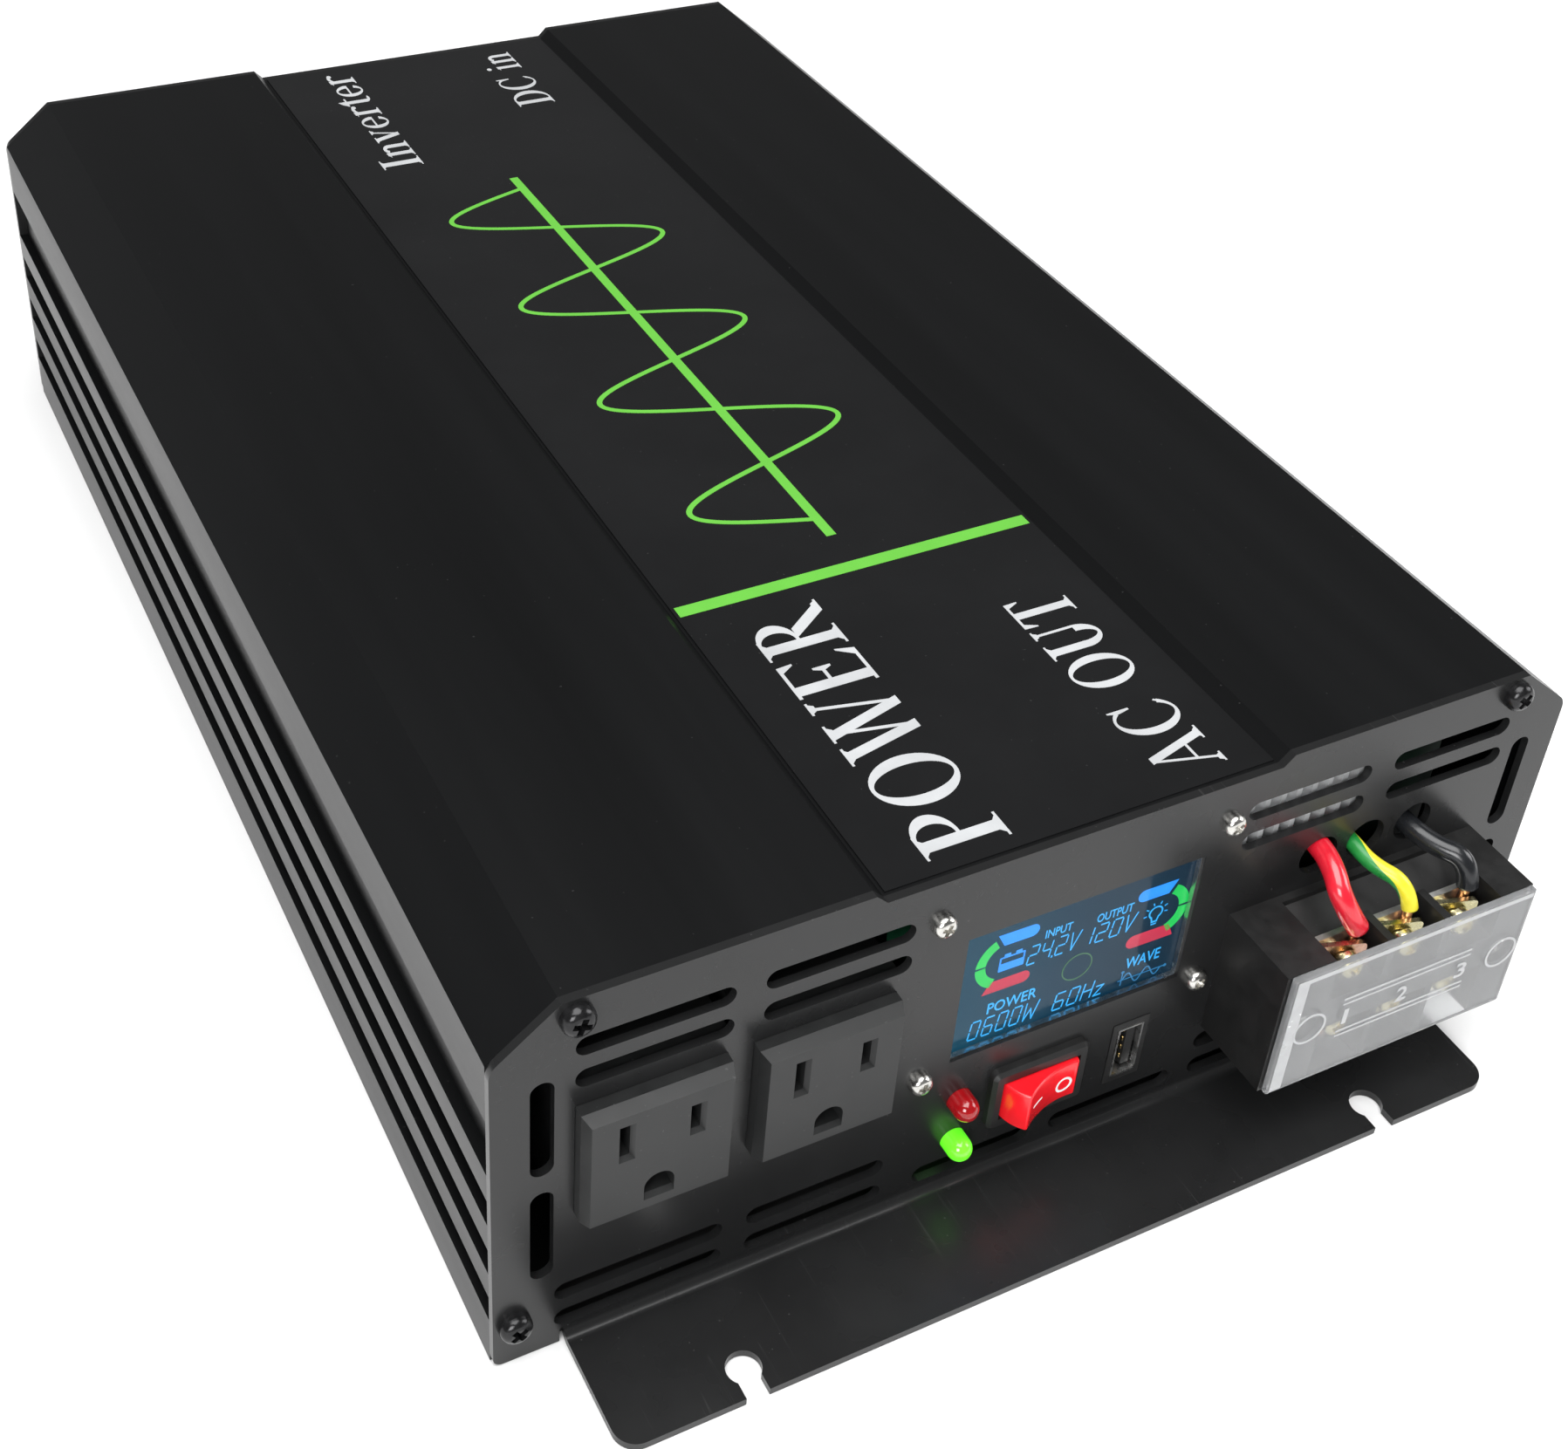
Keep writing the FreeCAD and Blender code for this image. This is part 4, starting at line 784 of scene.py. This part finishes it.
# lamp symbol with rays
bulb = arc_band(129.9, 54.4, 1.25, 1.6, -60, 240, 24) + [rect(129.2, 130.6, 51.9, 52.3), rect(129.3, 130.5, 51.3, 51.6)]
bulb += stroke([(129.15, 53.1), (129.35, 52.2)], 0.3) + stroke([(130.65, 53.1), (130.45, 52.2)], 0.3)
for a in (-10, 30, 70, 110, 150, 190):
    ca, sa = math.cos(math.radians(a)), math.sin(math.radians(a))
    bulb += stroke([(129.9 + 2.0 * ca, 54.4 + 2.0 * sa), (129.9 + 2.7 * ca, 54.4 + 2.7 * sa)], 0.25)
lcd_piece("lcd_lamp", region(bulb), "lcd_text")
lcd_piece("lcd_ring_mark", region(arc_band(114.0, 47.0, 3.05, 3.3, 0, 360, 48)), "lcd_ring")
# wave symbol on two axes
wv = stroke([(124.6, 38.6), (135.2, 38.6)], 0.2) + stroke([(125.4, 37.2), (125.4, 40.6)], 0.2)
wv += [disc(125.4, 40.7, 0.36, 14), disc(135.3, 38.6, 0.36, 14)]
wp = [(125.6 + 8.6 * i / 48, 38.6 + 1.4 * math.sin(2 * math.pi * 2 * i / 48)) for i in range(49)]
wv += stroke(wp, 0.26)
lcd_piece("lcd_wave", region(wv), "lcd_faint")


def plate_mesh(name, x0, x1, y0, y1, z0, z1, m, bevel, seg=2, body="chassis"):
    """Flat plate whose edges are rounded in the mesh."""
    import bmesh
    bm = bmesh.new()
    bmesh.ops.create_cube(bm, size=1.0)
    for v in bm.verts:
        p = F(x0 if v.co.x < 0 else x1, y0 if v.co.y < 0 else y1, z0 if v.co.z < 0 else z1)
        v.co = p
    bmesh.ops.bevel(bm, geom=list(bm.edges), offset=bevel / 1000, segments=seg, profile=0.7, affect="EDGES")
    me = bpy.data.meshes.new(name)
    bm.to_mesh(me)
    bm.free()
    o = bpy.data.objects.new(name, me)
    scene.collection.objects.link(o)
    me.materials.append(m)
    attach(o, body)
    return o


win = plate_mesh("lcd_window_pane", 84.4, 138.5, 1.63, 1.82, 33.6, 69.4, M["clear"], 0.04)
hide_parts("lcd_lens")
# bright bezel just inside the cut-out
bz = (87.25, 136.95, 36.05, 66.95)
slab("lcd_rim", region([rect(bz[0], bz[1], bz[2], bz[2] + 0.32), rect(bz[0], bz[1], bz[3] - 0.32, bz[3]), rect(bz[0], bz[0] + 0.32, bz[2], bz[3]),
                        rect(bz[1] - 0.32, bz[1], bz[2], bz[3])]), lambda u, v, h: F(u, 1.58 - h, v), 0.0, 1.0, M["steel"], "chassis")


# ------------------------------------------------------------------ rocker marks
RK = dict(x=107.3, y=-0.4, z=21.7, r=8.1, tilt=math.radians(16.0))
_a = math.radians(56.1)
_xe, _ye = RK["r"] * math.sin(_a), -RK["r"] * math.cos(_a)
_sag = 1.25
_R = (_xe ** 2 + _sag ** 2) / (2 * _sag)      # radius of the hollow front face


def on_rocker(u, v, h):
    """u runs across the hollow face, v up; h stands off it."""
    yc = _ye + _sag - _R
    th = math.asin(max(-1, min(1, u / _R)))
    px, py = (_R - h) * math.sin(th), yc + (_R - h) * math.cos(th)
    ct, st = math.cos(RK["tilt"]), math.sin(RK["tilt"])
    return F(RK["x"] + px * ct - py * st, RK["y"] + px * st + py * ct, RK["z"] + v)


slab("rocker_mark_off", region(arc_band(3.9, -0.6, 1.35, 1.85, 0, 360, 36)), on_rocker, -0.02, 0.05, M["white_print"], "rocker")
slab("rocker_mark_on", region([rect(-4.9 + 0.6 * i, -4.3 + 0.6 * i, -0.2, 0.2) for i in range(5)]), on_rocker, -0.02, 0.05,
     M["white_print"], "rocker")


# ------------------------------------------------------------------ output wires
ROUTES = {
    "wire_red": (4.4, [(165.6, 10.0, 58.2), (165.6, 1.0, 58.2), (164.4, -5.0, 57.6), (162.8, -10.2, 54.6), (166.9, -12.0, 47.7)]),
    "wire_earth": (3.2, [(173.8, 10.0, 56.0), (173.8, 1.0, 56.0), (174.6, -4.5, 54.2), (178.6, -10.6, 53.0), (179.4, -12.0, 47.7)]),
    "wire_black": (4.2, [(187.9, 10.0, 54.6), (187.9, 1.0, 54.6), (189.6, -4.8, 53.6), (193.6, -10.6, 53.4), (193.6, -12.0, 47.7)]),
}


def nurbs_line(name, pts):
    c = bpy.data.curves.new(name, "CURVE")
    c.dimensions = "3D"
    c.resolution_u = 24
    s = c.splines.new("NURBS")
    s.points.add(len(pts) - 1)
    for p, q in zip(s.points, pts):
        v = F(*q)
        p.co = (v.x, v.y, v.z, 1.0)
    s.order_u = 3
    s.use_endpoint_u = True
    o = bpy.data.objects.new(name, c)
    scene.collection.objects.link(o)
    bpy.context.view_layer.update()
    me = bpy.data.meshes.new_from_object(o.evaluated_get(bpy.context.evaluated_depsgraph_get()))
    out = [Vector(v.co) for v in me.vertices]
    bpy.data.objects.remove(o)
    bpy.data.curves.remove(c)
    bpy.data.meshes.remove(me)
    return out


def tube(name, pts, dia, m, seg=36):
    """Smooth round lead along the line, its end turned in slightly where the sheath is cut."""
    path = nurbs_line(name + "_line", pts)
    r = dia / 2000
    d = [(path[min(i + 1, len(path) - 1)] - path[max(i - 1, 0)]).normalized() for i in range(len(path))]
    side = d[0].orthogonal().normalized()
    verts, faces, ang, run = [], [], [], 0.0
    rings = []
    for i, p in enumerate(path):
        side = (side - d[i] * side.dot(d[i])).normalized()
        up = d[i].cross(side)
        if i:
            run += (p - path[i - 1]).length
        rings.append((p, side.copy(), up, 1.0, run))
    last = rings[-1]
    end = path[-1]
    rings.insert(0, (path[0], rings[0][1], rings[0][2], 0.80, 0.0))
    rings.append((end + d[-1] * 0.00001, last[1], last[2], 0.90, run))
    for p, a, b, k, s in rings:
        for j in range(seg):
            t = 2 * math.pi * j / seg
            verts.append(p + (a * math.cos(t) + b * math.sin(t)) * r * k)
            ang.append((t, s))
    for i in range(len(rings) - 1):
        for j in range(seg):
            k = (j + 1) % seg
            faces.append([i * seg + j, i * seg + k, (i + 1) * seg + k, (i + 1) * seg + j])
    faces.append([j for j in reversed(range(seg))])
    base = (len(rings) - 1) * seg
    faces.append([base + j for j in range(seg)])
    o = add(name, verts, faces, m, "chassis", smooth=True)
    at = o.data.attributes.new("twist", "FLOAT", "POINT")
    for k, (t, s) in enumerate(ang):
        at.data[k].value = -math.cos(t - 2 * math.pi * s / 0.034)
    return o


def earth_mat():
    t = Tree("wire_earth_pvc")
    at = t.n("ShaderNodeAttribute", attribute_name="twist")
    nz = t.noise(400, 3.0)
    gr = t.ramp(nz, "Fac", [(0.3, (0.010, 0.20, 0.035)), (0.7, (0.016, 0.27, 0.05))])
    ye = t.ramp(nz, "Fac", [(0.3, (0.70, 0.62, 0.02)), (0.7, (0.82, 0.74, 0.05))])
    st = t.ramp(at, "Fac", [(0.0, (0, 0, 0)), (0.05, (0, 0, 0)), (0.09, (1, 1, 1))])
    m = t.mix(st, "Color", (ye, "Color"), (gr, "Color"))
    t.t.links.new(m.outputs[2], t.b.inputs["Base Color"])
    rr = t.maprange(nz, "Fac", 0.25, 0.75, 0.26, 0.38)
    t.link(rr, "Result", t.b, "Roughness")
    bm = t.bump(t.noise(1800, 2.0), "Fac", 0.12, 3e-5)
    t.link(bm, "Normal", t.b, "Normal")
    return t.m


M["wire_earth"] = earth_mat()
for wname, (dia, pts) in ROUTES.items():
    o = tube("lead_" + wname[5:], pts, dia, M[wname])
    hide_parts(wname)


# ------------------------------------------------------------------ clear terminal cover with moulded marks
def cover_mat():
    t = Tree("cover_milky_acrylic")
    b = t.b
    nz = t.noise(120, 4.0)
    col = t.ramp(nz, "Fac", [(0.3, (0.66, 0.67, 0.68)), (0.7, (0.78, 0.79, 0.80))])
    sc = t.noise(700, 2.0, 0.4, (1.0, 1.0, 0.03), (0, 0.7, 0))
    scm = t.ramp(sc, "Fac", [(0.0, (0, 0, 0)), (0.64, (0, 0, 0)), (0.67, (0.22, 0.22, 0.22)), (0.70, (0, 0, 0))])
    mx = t.mix(scm, "Color", (col, "Color"), (0.95, 0.95, 0.95))
    t.t.links.new(mx.outputs[2], b.inputs["Base Color"])
    rr = t.maprange(nz, "Fac", 0.25, 0.75, 0.10, 0.17)
    t.link(rr, "Result", b, "Roughness")
    bm = t.bump(t.noise(260, 2.0), "Fac", 0.05, 4e-5)
    t.link(bm, "Normal", b, "Normal")
    b.inputs["Transmission Weight"].default_value = 0.86
    b.inputs["IOR"].default_value = 1.35
    return t.m


M["cover"] = cover_mat()
# raised moulded marks: real relief, drawn in a lighter, less clear plastic whose brightness is a painted highlight for
# the light their edges catch
M["cover_mark"] = mat("cover_moulded_marks_painted_highlight", (0.72, 0.73, 0.74), rough=0.22, var=0.05, vscale=400, bump=0.05, trans=0.5, ior=1.4)
CX0, CX1, CY0, CY1, CZ0, CZ1 = 147.1, 204.6, -19.0, -17.45, 18.1, 48.6
cover = plate_mesh("terminal_cover_plate", CX0, CX1, CY0 + 0.15, CY1, CZ0, CZ1, M["cover"], 0.55, 3)
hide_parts("terminal_cover")


def on_cover(u, v, h):
    return F(u, CY0 + 0.15 - h, v)


def cover_piece(name, polys, h=0.14):
    flat = polys if isinstance(polys, tuple) else region(polys)
    slab(name, flat, on_cover, -0.05, h, M["cover_mark"], "chassis")


for k, (z0, z1) in enumerate(((37.85, 38.2), (36.5, 36.85), (29.15, 29.5), (27.85, 28.2))):
    cover_piece("cover_line_%d" % (k + 1), [rect(160.8, 191.6, z0, z1)])
for ch, x in (("1", 162.1), ("2", 175.7), ("3", 190.2)):
    w = 1.1 if ch == "1" else 2.6
    cover_piece("cover_number_" + ch, sans(ch, x - w / 2, x + w / 2, 31.1, 35.0, 0.1))
for k, x in enumerate((153.6, 200.2)):
    cover_piece("cover_ring_%d" % (k + 1), arc_band(x, 33.5, 3.3, 3.8, 0, 360, 40))
# flat lighter strips along the left and top edges: painted highlight standing in for the light caught by the cover's
# chamfered border
cover_piece("cover_border_left_painted_highlight", [rect(147.7, 150.4, 18.8, 47.9)], 0.10)
cover_piece("cover_border_top_painted_highlight", [rect(150.4, 204.0, 46.9, 47.9)], 0.08)

# ------------------------------------------------------------------ USB contacts, fan badges, polarity marks
M["gold"] = mat("contact_gold", (0.85, 0.62, 0.25), rough=0.22, metal=1.0, var=0.1, vscale=600, bump=0.1)
for k in range(4):
    z = 20.3 - 3.5 + 7.0 * k / 3
    plate_mesh("usb_contact_%d" % (k + 1), 128.2 + 0.12, 128.2 + 0.32, 1.4, 8.5, z - 0.5, z + 0.5, M["gold"], 0.06, 1)

M["badge"] = mat("fan_badge_silver", (0.55, 0.56, 0.58), rough=0.30, metal=0.8, var=0.1, vscale=500, bump=0.15)
for side, x in (("left", 42.0), ("right", 178.0)):
    def on_badge(u, v, h, x=x):
        return F(x - u, 321.4 + 13.2 + h, 42.5 + v)
    slab("fan_badge_" + side, region([disc(0, 0, 10.2, 56)]), on_badge, -0.04, 0.10, M["badge"], "fan_" + side)
    slab("fan_badge_ring_" + side, region(arc_band(0, 0, 8.6, 9.3, 0, 360, 56) + arc_band(0, 0, 2.0, 2.6, 0, 360, 32)), on_badge, 0.08, 0.16,
         M["plastic"], "fan_" + side)


def on_rear(u, v, h):
    return F(u, 338.0 + h, v)


slab("rear_mark_plus", region([rect(93.99 - 2.6, 93.99 + 2.6, 65.1, 66.1), rect(93.49, 94.49, 63.0, 68.2)]), on_rear, -0.03, 0.06,
     M["white_print"], "chassis")
slab("rear_mark_minus", region([rect(126.0 - 2.6, 126.0 + 2.6, 65.1, 66.1)]), on_rear, -0.03, 0.06, M["white_print"], "chassis")
# earth symbol beside the case ground screw
gx, gz = 122.0, 20.0
slab("rear_mark_earth", region([rect(gx - 2.4, gx + 2.4, gz + 0.6, gz + 1.1), rect(gx - 1.6, gx + 1.6, gz - 0.5, gz), rect(gx - 0.8, gx + 0.8, gz - 1.6, gz - 1.1),
                                rect(gx - 0.25, gx + 0.25, gz + 1.1, gz + 3.2)]), on_rear, -0.03, 0.06, M["white_print"], "chassis")


# ------------------------------------------------------------------ small rounds on the carried-over sharp edges
def soften(name, width, seg=2, angle=35.0):
    o = N[name]
    w = o.modifiers.new("weld", "WELD")
    w.merge_threshold = 1e-6
    d = o.modifiers.new("flat", "DECIMATE")
    d.decimate_type = "DISSOLVE"
    d.angle_limit = math.radians(0.5)
    b = o.modifiers.new("round", "BEVEL")
    b.width = width
    b.segments = seg
    b.limit_method = "ANGLE"
    b.angle_limit = math.radians(angle)
    b.use_clamp_overlap = True
    b.harden_normals = True


for nm, w in (("switch_rocker", 0.00045),):
    soften(nm, w, 3)

# ------------------------------------------------------------------ floor
M["floor"] = mat("floor_pale", (0.86, 0.86, 0.86), rough=0.75, rvar=0.03, var=0.01, vscale=6, bump=0.02, bscale=300, spec=0.2)
fm = bpy.data.meshes.new("floor")
S, Zf = 14.0, CAD_BOX[0][2] - 0.0002
fm.from_pydata([(-S, -S, Zf), (S, -S, Zf), (S, S, Zf), (-S, S, Zf)], [], [(0, 1, 2, 3)])
fm.materials.append(M["floor"])
floor = bpy.data.objects.new("floor", fm)
scene.collection.objects.link(floor)

# ------------------------------------------------------------------ light
scene.view_settings.view_transform = "Standard"
scene.view_settings.look = "None"
world = bpy.data.worlds.new("studio")
scene.world = world
world.use_nodes = True
bg = world.node_tree.nodes["Background"]
bg.inputs["Color"].default_value = (1, 1, 1, 1)
bg.inputs["Strength"].default_value = 0.15


def lamp(name, loc, target, size, power, color=(1, 1, 1)):
    l = bpy.data.lights.new(name, "AREA")
    l.shape = "RECTANGLE"
    l.size, l.size_y = size
    l.energy = power
    l.color = color
    o = bpy.data.objects.new(name, l)
    scene.collection.objects.link(o)
    o.location = loc
    o.rotation_euler = (Vector(target) - Vector(loc)).to_track_quat("-Z", "Y").to_euler()
    return o


lamp("overhead", (-0.25, -0.35, 1.9), (0, -0.05, 0), (1.6, 1.6), 52.0)
lamp("key_front_left", (-1.3, -1.5, 1.0), (0, -0.05, 0.04), (0.9, 0.9), 30.0)
lamp("fill_right", (1.6, -0.7, 0.9), (0, -0.05, 0.04), (0.9, 0.9), 15.0)

# ------------------------------------------------------------------ camera
cd = bpy.data.cameras.new("camera")
cam = bpy.data.objects.new("camera", cd)
scene.collection.objects.link(cam)
R0, R1, R2 = ((0.89173398, -0.44978153, 0.0500709), (-0.22414032, -0.53505601, -0.81454047), (0.39315599, 0.71513051, -0.5779418))
cam.matrix_world = Matrix(((R0[0], -R1[0], -R2[0], -0.19027), (R0[1], -R1[1], -R2[1], -0.378515), (R0[2], -R1[2], -R2[2], 0.34079), (0, 0, 0, 1)))
cd.sensor_fit = "HORIZONTAL"
cd.sensor_width = 36.0
cd.lens = 50.67
cd.shift_x = 0.0376
cd.shift_y = -0.1384
cd.clip_start = 0.01
scene.camera = cam

bpy.context.view_layer.update()
